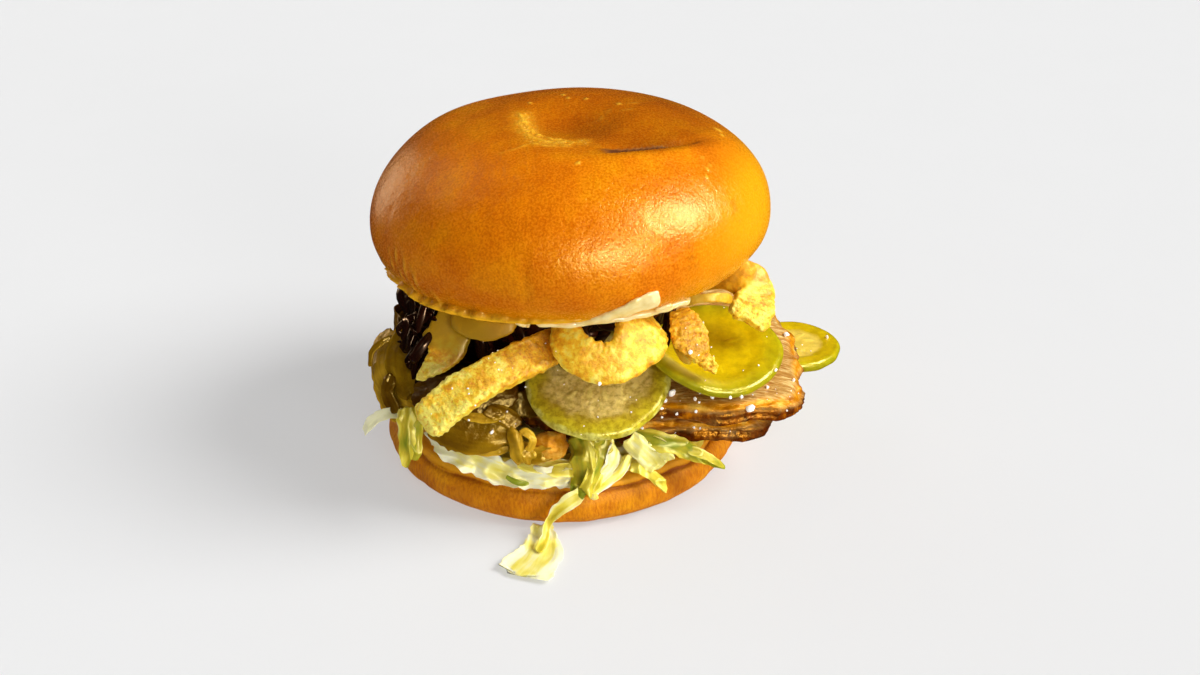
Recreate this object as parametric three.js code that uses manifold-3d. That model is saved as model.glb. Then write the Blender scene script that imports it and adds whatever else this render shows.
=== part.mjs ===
// Roast pork sandwich in a glossy bun: shredded lettuce, roast pork slices, cooked onions,
// pickle slices, pork cracklings, dark braised onions and white sauce.
// Units are millimetres and +Z is up. The origin is the centre of the flat underside,
// and the front of the sandwich faces -Y.
import * as THREE from "three";
import { mergeVertices } from "three/addons/utils/BufferGeometryUtils.js";
import Module from "manifold-3d";

const wasm = await Module();
wasm.setup();
const { Manifold } = wasm;

// Clearance left between pieces that touch.
const GAP = 0.3;
const DEG = Math.PI / 180;

// Bottom bun: a low disc with a bulging side and a lip round its cut face.
const HEEL_RADIUS = 51.7;
const HEEL_FOOT_RADIUS = 46;
const HEEL_LIP_RADIUS = 49.2;
const HEEL_HEIGHT = 12.8;
const HEEL_SIDES = 36;

// Top bun: widest at its own origin, domed above, cut flat below.
const CROWN_RADIUS = 55;
const CROWN_RISE = 29.8;
const CROWN_BELLY = 22;
const CROWN_SKIRT = 10.5;
const CROWN_FULLNESS = 2.15;
const CROWN_SIDES = 38;
const CROWN_RINGS = 13;
const CROWN_AT = [2.65, 1, 70.4];
const CROWN_TILT = [-3.1, -2.3, 0];
// The dent pressed into the top: a long fold, steep on the side towards the front.
const DENT = { x: 20, y: -16.5, turn: 28, half: 19, near: 4, far: 15, depth: 6.5 };

// Sauce under the top bun, with a lip squeezed out over its rim at the front right.
const SAUCE_RADIUS = 46;
const SAUCE_THICKNESS = 2.2;
const SAUCE_LIP = { angle: -67, spread: 14, reach: 6.5, rise: 6 };

// Layer heights, from the bottom bun upwards.
const LETTUCE_TOP = 19.5;
const PICKLE_THICKNESS = 3.2;
const PICKLE_RADIUS = 19;
const CRACKLING_THICKNESS = 4.6;
const LEAF_THICKNESS = 1.2;

const RIBBON_SIDES = 8;
const SLICE_SIDES = 22;
const HEAP_SIDES = 24;

const COLOURS = {
  bun_crust: [0xc4761a, 0.32],
  white_sauce: [0xf2e8cf, 0.3],
  lettuce: [0xd5d68a, 0.4],
  roast_pork: [0x8a5426, 0.4],
  cooked_onion: [0x9a7420, 0.25],
  dark_onion: [0x23120c, 0.2],
  pickle: [0x8f9418, 0.25],
  crackling: [0xe0b24a, 0.7],
};

function materialOf(kind) {
  const [color, roughness] = COLOURS[kind];
  return new THREE.MeshStandardMaterial({ color, roughness, metalness: 0 });
}

// A closed solid from a geometry whose shared corners are merged and flat corners dropped.
function solidOf(geometry) {
  geometry.deleteAttribute("normal");
  geometry.deleteAttribute("uv");
  const merged = mergeVertices(geometry, 1e-4);
  const corners = merged.index.array;
  const kept = [];
  for (let i = 0; i < corners.length; i += 3) {
    const [a, b, c] = [corners[i], corners[i + 1], corners[i + 2]];
    if (a !== b && b !== c && c !== a) kept.push(a, b, c);
  }
  const positions = new Float32Array(merged.attributes.position.array);
  const build = (triangles) => new Manifold(new wasm.Mesh({
    numProp: 3,
    vertProperties: positions,
    triVerts: new Uint32Array(triangles),
  }));
  const solid = build(kept);
  return solid.volume() > 0 ? solid : build(kept.reverse());
}

function geometryOf(solid) {
  const mesh = solid.getMesh();
  const geometry = new THREE.BufferGeometry();
  geometry.setAttribute("position", new THREE.BufferAttribute(new Float32Array(mesh.vertProperties), 3));
  geometry.setIndex(new THREE.BufferAttribute(new Uint32Array(mesh.triVerts), 1));
  geometry.computeVertexNormals();
  return geometry;
}

function largestPart(solid) {
  return solid.decompose().reduce((best, part) => (part.volume() > best.volume() ? part : best));
}

// Moves every corner of a geometry by a function of its place.
function warp(geometry, move) {
  const place = geometry.attributes.position;
  const point = new THREE.Vector3();
  for (let i = 0; i < place.count; i += 1) {
    point.fromBufferAttribute(place, i);
    move(point);
    place.setXYZ(i, point.x, point.y, point.z);
  }
  return geometry;
}

// A profile of [radius, height] pairs spun round the Z axis.
function spun(profile, sides) {
  const points = profile.map(([radius, height]) => new THREE.Vector2(radius, height));
  return new THREE.LatheGeometry(points, sides).rotateX(Math.PI / 2);
}

// Unevenness round an outline: each wave has a count round the turn, an amount and a phase in degrees.
function waves(angle, list) {
  return list.reduce((sum, [count, amount, phase]) => sum + amount * Math.cos(count * angle - phase * DEG), 0);
}

const bell = (offset, width) => Math.exp(-((offset / width) ** 2));

function angleBetween(a, b) {
  return Math.atan2(Math.sin(a - b), Math.cos(a - b));
}

// Radius of a rounded rectangle with half widths a and b, in the direction of angle.
function roundedReach(angle, a, b, squareness) {
  const x = Math.abs(Math.cos(angle) / a) ** squareness;
  const y = Math.abs(Math.sin(angle) / b) ** squareness;
  return (x + y) ** (-1 / squareness);
}

function bottomBun(grow) {
  const profile = [
    [0, 0],
    [HEEL_FOOT_RADIUS, 0],
    [HEEL_RADIUS - 2, 1.2],
    [HEEL_RADIUS - 0.4, 3.2],
    [HEEL_RADIUS, 5.2],
    [HEEL_RADIUS - 0.5, 8.2],
    [HEEL_LIP_RADIUS, 11.2],
    [HEEL_LIP_RADIUS - 2, HEEL_HEIGHT - 0.3],
    [HEEL_LIP_RADIUS - 6, HEEL_HEIGHT],
    [0, HEEL_HEIGHT],
  ];
  const size = (HEEL_RADIUS + grow) / HEEL_RADIUS;
  const rise = (HEEL_HEIGHT + grow) / HEEL_HEIGHT;
  return spun(profile, HEEL_SIDES).scale(size, size, rise);
}

// How far the top of the bun is pressed in at a point.
function dentDepth(x, y) {
  const [cos, sin] = [Math.cos(DENT.turn * DEG), Math.sin(DENT.turn * DEG)];
  const along = (x - DENT.x) * cos + (y - DENT.y) * sin;
  const across = (y - DENT.y) * cos - (x - DENT.x) * sin;
  return DENT.depth * bell(along, DENT.half) * bell(across, across < 0 ? DENT.near : DENT.far);
}

function topBun(grow) {
  const power = 2 / CROWN_FULLNESS;
  const cutAngle = -Math.asin((CROWN_SKIRT / CROWN_BELLY) ** (CROWN_FULLNESS / 2));
  const profile = [];
  for (let i = 0; i <= CROWN_RINGS; i += 1) {
    const angle = THREE.MathUtils.lerp(cutAngle, Math.PI / 2, i / CROWN_RINGS);
    const radius = CROWN_RADIUS * Math.max(Math.cos(angle), 0) ** power;
    const height = Math.abs(Math.sin(angle)) ** power;
    profile.push([i === CROWN_RINGS ? 0 : radius, angle < 0 ? -CROWN_BELLY * height : CROWN_RISE * height]);
  }
  const rim = profile[0][0];
  profile[0][1] = -CROWN_SKIRT + 1;
  profile.unshift([0, -CROWN_SKIRT], [rim - 1.5, -CROWN_SKIRT]);
  const size = (CROWN_RADIUS + grow) / CROWN_RADIUS;
  const drop = (CROWN_SKIRT + grow) / CROWN_SKIRT;
  return warp(spun(profile, CROWN_SIDES), (point) => {
    if (point.z > 0) point.z -= dentDepth(point.x, point.y);
    point.set(point.x * size, point.y * size, point.z < 0 ? point.z * drop : point.z + grow);
  });
}

// The sauce layer, drawn in the top bun's own frame just under its cut face.
function sauceLayer(grow) {
  const low = -CROWN_SKIRT - GAP - SAUCE_THICKNESS;
  const rings = [[0, 0], [0.6, 0], [0.94, 0.1], [1, 0.5], [0.94, 1], [0.6, 1], [0, 1]];
  return warp(spun(rings, HEAP_SIDES + 6), (point) => {
    const share = Math.hypot(point.x, point.y);
    const angle = Math.atan2(point.y, point.x);
    const lip = bell(angleBetween(angle, SAUCE_LIP.angle * DEG), SAUCE_LIP.spread * DEG);
    const edge = SAUCE_RADIUS + waves(angle, [[3, 1.4, 40], [7, 0.9, 10], [11, 0.6, 70]]) + SAUCE_LIP.reach * lip;
    const reach = share * (edge + grow);
    const rise = share > 0.9 ? SAUCE_LIP.rise * lip * point.z : 0;
    const height = low - grow + point.z * (SAUCE_THICKNESS + 2 * grow) + rise;
    point.set(reach * Math.cos(angle), reach * Math.sin(angle), height);
  });
}

// A flat slice with a rounded edge: outline(angle) is its radius, bend(x, y) lifts it.
function slice({ outline, thickness, bend = () => 0 }) {
  return (grow) => {
    const rings = [[0, -1], [0.62, -1], [0.96, -0.9], [1, 0], [0.96, 0.9], [0.62, 1], [0, 1]];
    return warp(spun(rings, SLICE_SIDES), (point) => {
      const share = Math.hypot(point.x, point.y);
      const angle = Math.atan2(point.y, point.x);
      const reach = share * (outline(angle) + grow);
      const [x, y] = [reach * Math.cos(angle), reach * Math.sin(angle)];
      point.set(x, y, bend(x, y) + point.z * (thickness / 2 + grow));
    });
  };
}

// A mound with an uneven outline and top, from low to the height that top(share, angle) gives.
function heap({ outline, low, top }) {
  return (grow) => {
    const rings = [[0, 0], [0.88, 0], [1, 0.35], [0.92, 0.8], [0.66, 1], [0, 1]];
    return warp(spun(rings, HEAP_SIDES), (point) => {
      const share = Math.hypot(point.x, point.y);
      const angle = Math.atan2(point.y, point.x);
      const reach = share * (outline(angle) + grow);
      const [bottom, peak] = [low - grow, top(share, angle) + grow];
      point.set(reach * Math.cos(angle), reach * Math.sin(angle), bottom + point.z * (peak - bottom));
    });
  };
}

// A strip along a path. faces are the directions its flat side looks in, from start to end;
// tips are the share of its width left at the two ends, and ruffle waves it off its flat.
function ribbon({ path, faces, width, thickness, tips = [0.6, 0.6], ruffle = [0, 0], steps = 8 }) {
  const start = new THREE.Vector3(...path[0]);
  const line = new THREE.CatmullRomCurve3(path.map((p) => new THREE.Vector3(...p).sub(start)));
  const turn = new THREE.CatmullRomCurve3(faces.map((f) => new THREE.Vector3(...f)));
  return (grow) => {
    const tube = new THREE.CylinderGeometry(1, 1, 1, RIBBON_SIDES, steps);
    return warp(tube, (point) => {
      const t = point.y + 0.5;
      const along = line.getTangent(t);
      const side = new THREE.Vector3().crossVectors(along, turn.getPoint(t)).normalize();
      const out = new THREE.Vector3().crossVectors(side, along).normalize();
      const bodyShare = 1 - Math.abs(2 * t - 1) ** 4;
      const tip = t < 0.5 ? tips[0] : tips[1];
      const share = tip + (1 - tip) * bodyShare;
      const across = point.x * (share * width(t) / 2 + grow);
      const wave = ruffle[0] * Math.sin(ruffle[1] * t * Math.PI * 2) * point.x;
      const proud = point.z * (Math.sqrt(share) * thickness / 2 + grow) + wave;
      const place = line.getPoint(t).addScaledVector(along, grow * (2 * t - 1));
      point.copy(place.addScaledVector(side, across).addScaledVector(out, proud));
    });
  };
}

const even = (value) => () => value;
const round = (radius, unevenness = []) => (angle) => radius * (1 + waves(angle, unevenness));

const sandwich = new THREE.Group();
const lowerHalf = new THREE.Group();
const filling = new THREE.Group();
const upperHalf = new THREE.Group();
upperHalf.position.set(...CROWN_AT);
upperHalf.rotation.set(...CROWN_TILT.map((angle) => angle * DEG));
sandwich.add(lowerHalf, filling, upperHalf);

// What has been placed so far, grown by the clearance. Each new piece is cut clear of it.
const placed = [];

function boxesMeet(a, b) {
  const [p, q] = [a.boundingBox(), b.boundingBox()];
  return [0, 1, 2].every((k) => p.min[k] <= q.max[k] && q.min[k] <= p.max[k]);
}

function addPiece({ name, kind, parent = filling, at = [0, 0, 0], tilt = [0, 0, 0], draw }) {
  const mesh = new THREE.Mesh(undefined, materialOf(kind));
  mesh.name = name;
  mesh.position.set(...at);
  mesh.rotation.set(...tilt.map((angle) => angle * DEG));
  parent.add(mesh);
  mesh.updateWorldMatrix(true, false);
  const toWorld = mesh.matrixWorld;
  let solid = solidOf(draw(0)).transform(toWorld.elements);
  for (const other of placed) {
    if (boxesMeet(solid, other)) solid = solid.subtract(other);
  }
  const local = largestPart(solid).transform(toWorld.clone().invert().elements);
  mesh.geometry = geometryOf(local);
  placed.push(solidOf(draw(GAP)).transform(toWorld.elements));
}

addPiece({ name: "bottom_bun", kind: "bun_crust", parent: lowerHalf, draw: bottomBun });
addPiece({ name: "top_bun", kind: "bun_crust", parent: upperHalf, draw: topBun });
addPiece({ name: "white_sauce", kind: "white_sauce", parent: upperHalf, draw: sauceLayer });

// Pork cracklings: puffed strips bent into hooks and loops between the pickles and the top bun.
const CRACKLINGS = [
  {
    name: "crackling_long",
    path: [[-36, -54, 35.5], [-29, -52.5, 41.5], [-21, -50.5, 46.3], [-12.5, -47, 49.2], [-5, -42, 50.2], [1, -34, 49.5]],
    faces: [[-0.25, -0.75, 0.6], [-0.1, -0.7, 0.7], [0, -0.75, 0.65]],
    width: even(10.4),
    tips: [0.95, 0.7],
  },
  {
    name: "crackling_loop",
    path: [
      [-0.6, -35, 56.5], [0.1, -43.5, 56], [3.8, -48.5, 53.2], [9.8, -50.5, 51.6],
      [16.3, -50, 52.6], [21.3, -47, 54.9], [23.4, -42, 57], [22, -35, 57.4],
    ],
    faces: [[-0.6, -0.6, 0.3], [0, -1, 0.3], [0, -0.9, 0.45], [0.3, -0.9, 0.4], [0.9, -0.3, 0.3]],
    width: (t) => 9.5 + 1.5 * Math.sin(Math.PI * t),
    steps: 14,
  },
  {
    name: "crackling_left",
    path: [[-26, -27, 56], [-28.4, -31.5, 50], [-30.8, -35.5, 45.6], [-36.4, -40, 42]],
    faces: [[-0.3, -0.95, 0.2], [-0.2, -0.9, 0.5], [-0.1, -0.5, 0.85]],
    width: (t) => 12.5 - 5 * t,
    tips: [0.8, 0.45],
  },
  {
    name: "crackling_tucked_left",
    path: [[-28, -33, 56], [-23.5, -37.5, 55.2], [-18.5, -39.5, 55], [-12.5, -39, 56]],
    faces: [[-0.2, -0.9, 0.4], [0.1, -0.9, 0.4]],
    width: even(6.5),
  },
  {
    name: "crackling_small_right",
    path: [[30.4, -34, 57.5], [31.6, -39.8, 55.2], [34, -42.8, 51], [39.4, -45, 45.6]],
    faces: [[0, -0.9, 0.4], [0.1, -0.85, 0.5]],
    width: (t) => 8.5 + 2.5 * bell(t - 0.5, 0.3) - 2 * t,
    tips: [0.7, 0.3],
  },
  {
    name: "crackling_far_right",
    path: [[37, -17, 57.5], [44, -19.5, 60.2], [50.3, -22.5, 59], [51.2, -26, 54.3], [48.8, -29.5, 50]],
    faces: [[0, -0.85, 0.5], [0.2, -0.8, 0.6], [0.4, -0.8, 0.4], [0.2, -0.9, 0.35]],
    width: (t) => 8.5 + 4.5 * t,
    tips: [0.7, 0.75],
    steps: 12,
  },
  {
    name: "crackling_tucked_right",
    path: [[36, -27, 56.2], [41, -29.5, 55.8]],
    faces: [[0, -0.8, 0.6], [0.2, -0.8, 0.6]],
    width: even(7),
    steps: 6,
  },
  {
    name: "crackling_back_left",
    path: [[-30, 22, 56.5], [-37, 30, 53.5], [-42, 36, 48.5], [-45, 41, 42.5]],
    faces: [[-0.5, 0.6, 0.6], [-0.6, 0.7, 0.4]],
    width: (t) => 11 - 2 * t,
  },
  {
    name: "crackling_back_loop",
    path: [
      [-15, 36, 56.5], [-16, 44, 54.5], [-9, 49.5, 51.5], [0, 51, 50.5], [9, 49, 52], [12, 42, 55.5], [9, 35, 56.5],
    ],
    faces: [[-0.7, 0.5, 0.3], [-0.3, 0.9, 0.3], [0, 0.95, 0.3], [0.4, 0.9, 0.3], [0.9, 0.3, 0.3]],
    width: even(9.5),
    steps: 12,
  },
  {
    name: "crackling_back_right",
    path: [[27, 28, 56.5], [33, 35.5, 54], [38, 41, 49], [39, 45, 43.5]],
    faces: [[0.4, 0.7, 0.6], [0.4, 0.85, 0.4]],
    width: (t) => 10.5 - 2 * t,
    tips: [0.6, 0.5],
  },
  {
    name: "crackling_right",
    path: [[38, 13, 58], [44, 16, 56.5], [49, 18, 52], [51, 19.5, 46]],
    faces: [[0.4, 0.2, 0.9], [0.9, 0.1, 0.5]],
    width: even(9),
    tips: [0.6, 0.5],
  },
];
for (const { name, path, ...shape } of CRACKLINGS) {
  const draw = ribbon({ path, thickness: CRACKLING_THICKNESS, ...shape });
  addPiece({ name, kind: "crackling", at: path[0], draw });
}

// Pickle slices: flat, or with one side curled up where it leans on its neighbour.
const curledUp = (amount, angle) => (x, y) => {
  const along = (x * Math.cos(angle * DEG) + y * Math.sin(angle * DEG)) / PICKLE_RADIUS;
  return amount * Math.max(along, 0) ** 2;
};
const PICKLES = [
  { name: "pickle_front", at: [9, -36.5, 38.5], tilt: [29, 0, 0] },
  { name: "pickle_right", at: [40, -28, 41.2], tilt: [11, 0, 0], bend: curledUp(4, 200) },
  { name: "pickle_far_right", at: [67.5, 4.8, 23.2], tilt: [-2, 1, 0], radius: 14.5 },
  { name: "pickle_back_left", at: [-26, 37, 38.5], tilt: [-27, -8, 0], bend: curledUp(3, 100) },
  { name: "pickle_back_right", at: [23, 38, 38], tilt: [-24, 8, 0] },
];
for (const { name, at, tilt, radius = PICKLE_RADIUS, bend } of PICKLES) {
  const outline = round(radius, [[2, 0.02, 30], [5, 0.008, 0]]);
  addPiece({ name, kind: "pickle", at, tilt, draw: slice({ outline, thickness: PICKLE_THICKNESS, bend }) });
}

// Roast pork slices: rounded rectangles with an uneven edge that sag where they overhang.
const sagging = (amount, from) => (x) => -amount * Math.max(x / from - 1, 0) ** 2;
const PORK_SLICES = [
  {
    name: "pork_slice_upper_right",
    at: [27.5, -9.5, 31],
    tilt: [0.4, 0.6, 0],
    size: [39.5, 34.5, 4.5],
    thickness: 6.4,
    edge: [[5, 0.015, 20], [9, 0.012, 80]],
    bend: sagging(5, 20),
  },
  {
    name: "pork_slice_lower_right",
    at: [24, -8.5, 23.8],
    tilt: [0.4, 0.6, 0],
    size: [36, 33.5, 4],
    thickness: 6.4,
    edge: [[4, 0.02, 120], [7, 0.015, 10]],
    bend: sagging(3, 20),
  },
  {
    name: "pork_slice_lower_left",
    at: [-32.5, 0, 22.6],
    tilt: [0, -1, 0],
    size: [20.5, 36, 2.5],
    thickness: 5.6,
    edge: [[4, 0.03, 60], [9, 0.02, 0]],
  },
  {
    name: "pork_slice_back",
    at: [-9, 25, 29.4],
    tilt: [-1.5, 0, 0],
    size: [31, 24, 2.6],
    thickness: 5.6,
    edge: [[5, 0.03, 90], [8, 0.02, 30]],
  },
];
for (const { name, at, tilt, size, thickness, edge, bend } of PORK_SLICES) {
  const outline = (angle) => roundedReach(angle, ...size) * (1 + waves(angle, edge));
  addPiece({ name, kind: "roast_pork", at, tilt, draw: slice({ outline, thickness, bend }) });
}

// A glazed end of pork that hangs out at the front, left of the front pickle.
const PORK_END_PATH = [[-8.5, -46.5, 24.8], [-4, -47.5, 25.2], [1, -45.5, 25]];
addPiece({
  name: "pork_piece_front",
  kind: "roast_pork",
  at: PORK_END_PATH[0],
  draw: ribbon({
    path: PORK_END_PATH,
    faces: [[0, -0.9, 0.4], [0, -0.8, 0.6]],
    width: even(9),
    thickness: 7,
    steps: 6,
  }),
});

// Cooked onion: the large petals that show, over a heap of softer strips.
const ONION_PETALS = [
  {
    name: "onion_curl_front",
    path: [[-10, -47.5, 33], [-11.6, -50.8, 28.5], [-10.6, -50.5, 23.2]],
    faces: [[0, -0.8, 0.5], [0, -1, 0]],
    width: even(5.6),
    thickness: 4,
    steps: 6,
  },
  {
    name: "onion_petal_front",
    path: [[-37, -42, 33], [-29, -46.3, 32], [-20, -47.6, 30.8], [-13.5, -46.5, 31]],
    faces: [[-0.3, -0.7, 0.7], [0, -0.75, 0.7], [0.1, -0.7, 0.7]],
    width: (t) => 14.5 - 2 * t,
    thickness: 4.5,
  },
  {
    name: "onion_petal_left_upper",
    path: [[-49.5, -13.5, 39], [-50.3, -20, 38], [-48.2, -27, 35.4], [-44.5, -33, 32.6]],
    faces: [[-0.85, -0.3, 0.5], [-0.7, -0.6, 0.45]],
    width: (t) => 7.5 - 1.5 * t,
    thickness: 3.2,
  },
  {
    name: "onion_petal_left_lower",
    path: [[-50.5, -20, 31.5], [-50, -27, 30.8], [-46, -33, 29.8], [-41, -37.5, 29.5]],
    faces: [[-0.9, -0.3, 0.2], [-0.7, -0.7, 0.2]],
    width: even(7),
    thickness: 3.4,
  },
];
for (const { name, path, ...shape } of ONION_PETALS) {
  addPiece({ name, kind: "cooked_onion", at: path[0], draw: ribbon({ path, ...shape }) });
}

// Lettuce that hangs or sticks out of the bed: each is one thin, slightly ruffled strip.
const LEAVES = [
  {
    name: "lettuce_strand",
    path: [
      [7.5, -45, 22], [6, -50, 18.6], [3.2, -54, 13.6], [-1.5, -55, 9], [-5, -56.5, 5.4], [-6.2, -60, 2.2],
      [-8.2, -65.5, 1.3], [-11.6, -71.2, 1.2],
    ],
    faces: [[0, -0.6, 0.8], [0.2, -0.9, 0.5], [-0.2, -0.8, 0.6], [0, -0.1, 1], [0, 0, 1]],
    width: (t) => 3.4 + 9 * bell(t - 0.06, 0.22) + 12.5 * bell(t - 1, 0.24),
    tips: [0.7, 0.95],
    steps: 16,
  },
  {
    name: "lettuce_leaf_left",
    path: [[-42, -38.8, 30], [-42.3, -42.5, 26.2], [-41.2, -45, 19.8]],
    faces: [[-0.3, -0.8, 0.5], [-0.3, -0.9, 0.2]],
    width: even(6.6),
    tips: [0.7, 0.8],
    steps: 7,
  },
  {
    name: "lettuce_shred_left",
    path: [[-41.5, -34.5, 26.6], [-47, -34.5, 26.8], [-51.8, -34, 24.4], [-55.8, -33, 20.3]],
    faces: [[0, -0.7, 0.7], [0, -0.7, 0.7]],
    width: even(3.4),
    steps: 7,
  },
  {
    name: "lettuce_leaf_right",
    path: [[21.5, -44.5, 22.4], [30, -45.3, 20.6], [37.5, -45, 17.2], [44.6, -43, 12.9]],
    faces: [[0, -0.75, 0.65], [0.2, -0.7, 0.7]],
    width: (t) => 6.5 - 1.5 * t,
    tips: [0.7, 0.3],
    steps: 7,
  },
  {
    name: "lettuce_leaf_front",
    path: [[-36, -36, 18.4], [-27.5, -42.3, 17.6], [-17.5, -47, 17], [-7, -48.6, 16.9], [2, -48, 17.4]],
    faces: [[-0.5, -0.6, 0.7], [0, -0.75, 0.7], [0, -0.75, 0.7]],
    width: even(7.5),
    tips: [0.6, 0.7],
    ruffle: [0.7, 3],
    steps: 10,
  },
];
for (const { name, path, ...shape } of LEAVES) {
  const draw = ribbon({ path, thickness: LEAF_THICKNESS, ...shape });
  addPiece({ name, kind: "lettuce", at: path[0], draw });
}

// Heaps of many small strips, each drawn as one solid out to its uneven outline.
addPiece({
  name: "cooked_onions",
  kind: "cooked_onion",
  at: [-20, -6, 0],
  draw: heap({
    outline: round(30, [[2, 0.08, 180], [5, 0.05, 30], [9, 0.03, 0]]),
    low: 25.9,
    top: (share, angle) => 37 - 3 * share * share + waves(angle, [[4, 0.6, 0]]),
  }),
});
addPiece({
  name: "dark_onions",
  kind: "dark_onion",
  at: [0, 3, 0],
  draw: heap({
    outline: (angle) => 37 + waves(angle, [[1, 7, 190], [2, 2, 0], [7, 1.4, 40], [11, 1, 0]]),
    low: 34.6,
    top: (share, angle) => 56 - 4 * share * share + waves(angle, [[5, 0.5, 0]]),
  }),
});
addPiece({
  name: "shredded_lettuce",
  kind: "lettuce",
  at: [2, -0.5, 0],
  draw: heap({
    outline: round(46, [[3, 0.015, 0], [8, 0.025, 20], [13, 0.02, 60]]),
    low: HEEL_HEIGHT + GAP,
    top: (share, angle) => LETTUCE_TOP - 1.5 * share ** 4 + waves(angle, [[7, 0.4, 0]]),
  }),
});

export default sandwich;
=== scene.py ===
"""Roast pork sandwich in a glossy bun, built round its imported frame.

Shapes are drawn in millimetres and turned to metres when a piece is finished.
"""

import math
import random

import bmesh
import bpy
from mathutils import Matrix, Vector, noise
from mathutils.bvhtree import BVHTree


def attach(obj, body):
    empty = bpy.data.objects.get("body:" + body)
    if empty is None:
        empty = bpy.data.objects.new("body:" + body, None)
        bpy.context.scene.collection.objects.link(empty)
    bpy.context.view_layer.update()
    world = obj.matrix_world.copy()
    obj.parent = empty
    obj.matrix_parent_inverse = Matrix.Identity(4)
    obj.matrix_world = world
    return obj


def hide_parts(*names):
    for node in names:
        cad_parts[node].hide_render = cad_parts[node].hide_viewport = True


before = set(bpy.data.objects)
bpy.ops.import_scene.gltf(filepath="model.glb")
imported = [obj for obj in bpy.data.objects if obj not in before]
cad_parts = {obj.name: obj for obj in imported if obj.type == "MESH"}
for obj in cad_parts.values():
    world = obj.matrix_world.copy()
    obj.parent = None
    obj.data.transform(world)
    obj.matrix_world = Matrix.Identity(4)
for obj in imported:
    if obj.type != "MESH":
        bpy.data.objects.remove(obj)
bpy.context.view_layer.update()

MM = 0.001
UP = Vector((0, 0, 1))


# Measures

def linear(colour):
    """An sRGB hex colour as linear light."""
    parts = [int(colour[i:i + 2], 16) / 255 for i in (1, 3, 5)]
    return tuple(c / 12.92 if c <= 0.04045 else ((c + 0.055) / 1.055) ** 2.4 for c in parts) + (1.0,)


def per_mm(size):
    """The texture scale that makes a pattern's cells this many millimetres wide."""
    return 1000.0 / size


def bell(offset, width):
    return math.exp(-((offset / width) ** 2))


def ramp(value, low, high):
    """0 at low, 1 at high and smooth between."""
    share = min(max((value - low) / (high - low), 0.0), 1.0)
    return share * share * (3.0 - 2.0 * share)


def lumps(co, size, seed=0.0):
    """Smooth noise from -1 to 1 whose lumps are size millimetres apart."""
    return noise.noise(Vector((co[0] / size + seed, co[1] / size - 2.3 * seed, co[2] / size + 3.1 * seed)))


def waves(angle, terms):
    """Unevenness round an outline, from (count, amount, phase in degrees) terms."""
    return sum(amount * math.cos(count * angle - math.radians(phase)) for count, amount, phase in terms)


def angle_between(a, b):
    return math.atan2(math.sin(a - b), math.cos(a - b))


def curve(points, t):
    """The point at share t of a smooth line through the points."""
    spans = len(points) - 1
    at = min(max(t, 0.0) * spans, spans - 1e-6)
    i = int(at)
    f = at - i
    before = points[i - 1] if i else 2 * points[0] - points[1]
    after = points[i + 2] if i + 2 <= spans else 2 * points[-1] - points[-2]
    a, b = points[i], points[i + 1]
    return 0.5 * (2 * a + (b - before) * f + (2 * before - 5 * a + 4 * b - after) * f * f
                  + (3 * a - before - 3 * b + after) * f ** 3)


def length_of(points):
    return sum((b - a).length for a, b in zip(points, points[1:]))


def ring_at(path, faces, t):
    """Place, side and outward directions of a strip at share t of its path."""
    along = (curve(path, min(t + 0.01, 1)) - curve(path, max(t - 0.01, 0))).normalized()
    side = along.cross(curve(faces, t)).normalized()
    return curve(path, t), along, side, side.cross(along).normalized()


# Shapes

READY = {}


def layer(bm, name):
    """A mark on the vertices that a material reads: three numbers for "grain", one for the others."""
    kind = bm.verts.layers.float_vector if name == "grain" else bm.verts.layers.float
    return kind.get(name) or kind.new(name)


def shape_with(*marks):
    """An empty shape whose vertices will carry these marks."""
    bm = bmesh.new()
    for name in marks:
        layer(bm, name)
    return bm


def stamp(bm, key, make):
    """Copies a plain shape, made once, into the piece and returns its new vertices."""
    if key not in READY:
        shape = bmesh.new()
        make(shape)
        READY[key] = bpy.data.meshes.new("plain_shape")
        shape.to_mesh(READY[key])
        shape.free()
    start = len(bm.verts)
    bm.from_mesh(READY[key])
    bm.verts.ensure_lookup_table()
    return bm.verts[start:]


def spun(bm, profile, steps):
    """A closed shape from a [radius, height] profile spun round Z."""
    verts = [bm.verts.new((radius, 0, height)) for radius, height in profile]
    edges = [bm.edges.new(pair) for pair in zip(verts, verts[1:])]
    bmesh.ops.spin(bm, geom=verts + edges, cent=(0, 0, 0), axis=(0, 0, 1), angle=math.tau,
                   steps=steps, use_merge=True, use_duplicate=False)
    bmesh.ops.remove_doubles(bm, verts=bm.verts[:], dist=1e-4)
    bmesh.ops.recalc_face_normals(bm, faces=bm.faces[:])


def crumpled(amount, size, seed, cup=0.0, frill=0.0, sharp=1.0):
    """Folds for a thin strip: waves and creases size mm apart, a hollow across it and a frilled edge."""
    def fold(along, across):
        wave = lumps((0.7 * along, across, 5), 2.3 * size, seed + 4)
        crease = 0.35 - abs(lumps((0.45 * along, 1.1 * across, 0), size, seed))
        edge = cup + frill * math.sin(0.9 * along + seed)
        return amount * (1.3 * wave + sharp * crease) + edge * across * across
    return fold


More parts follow.
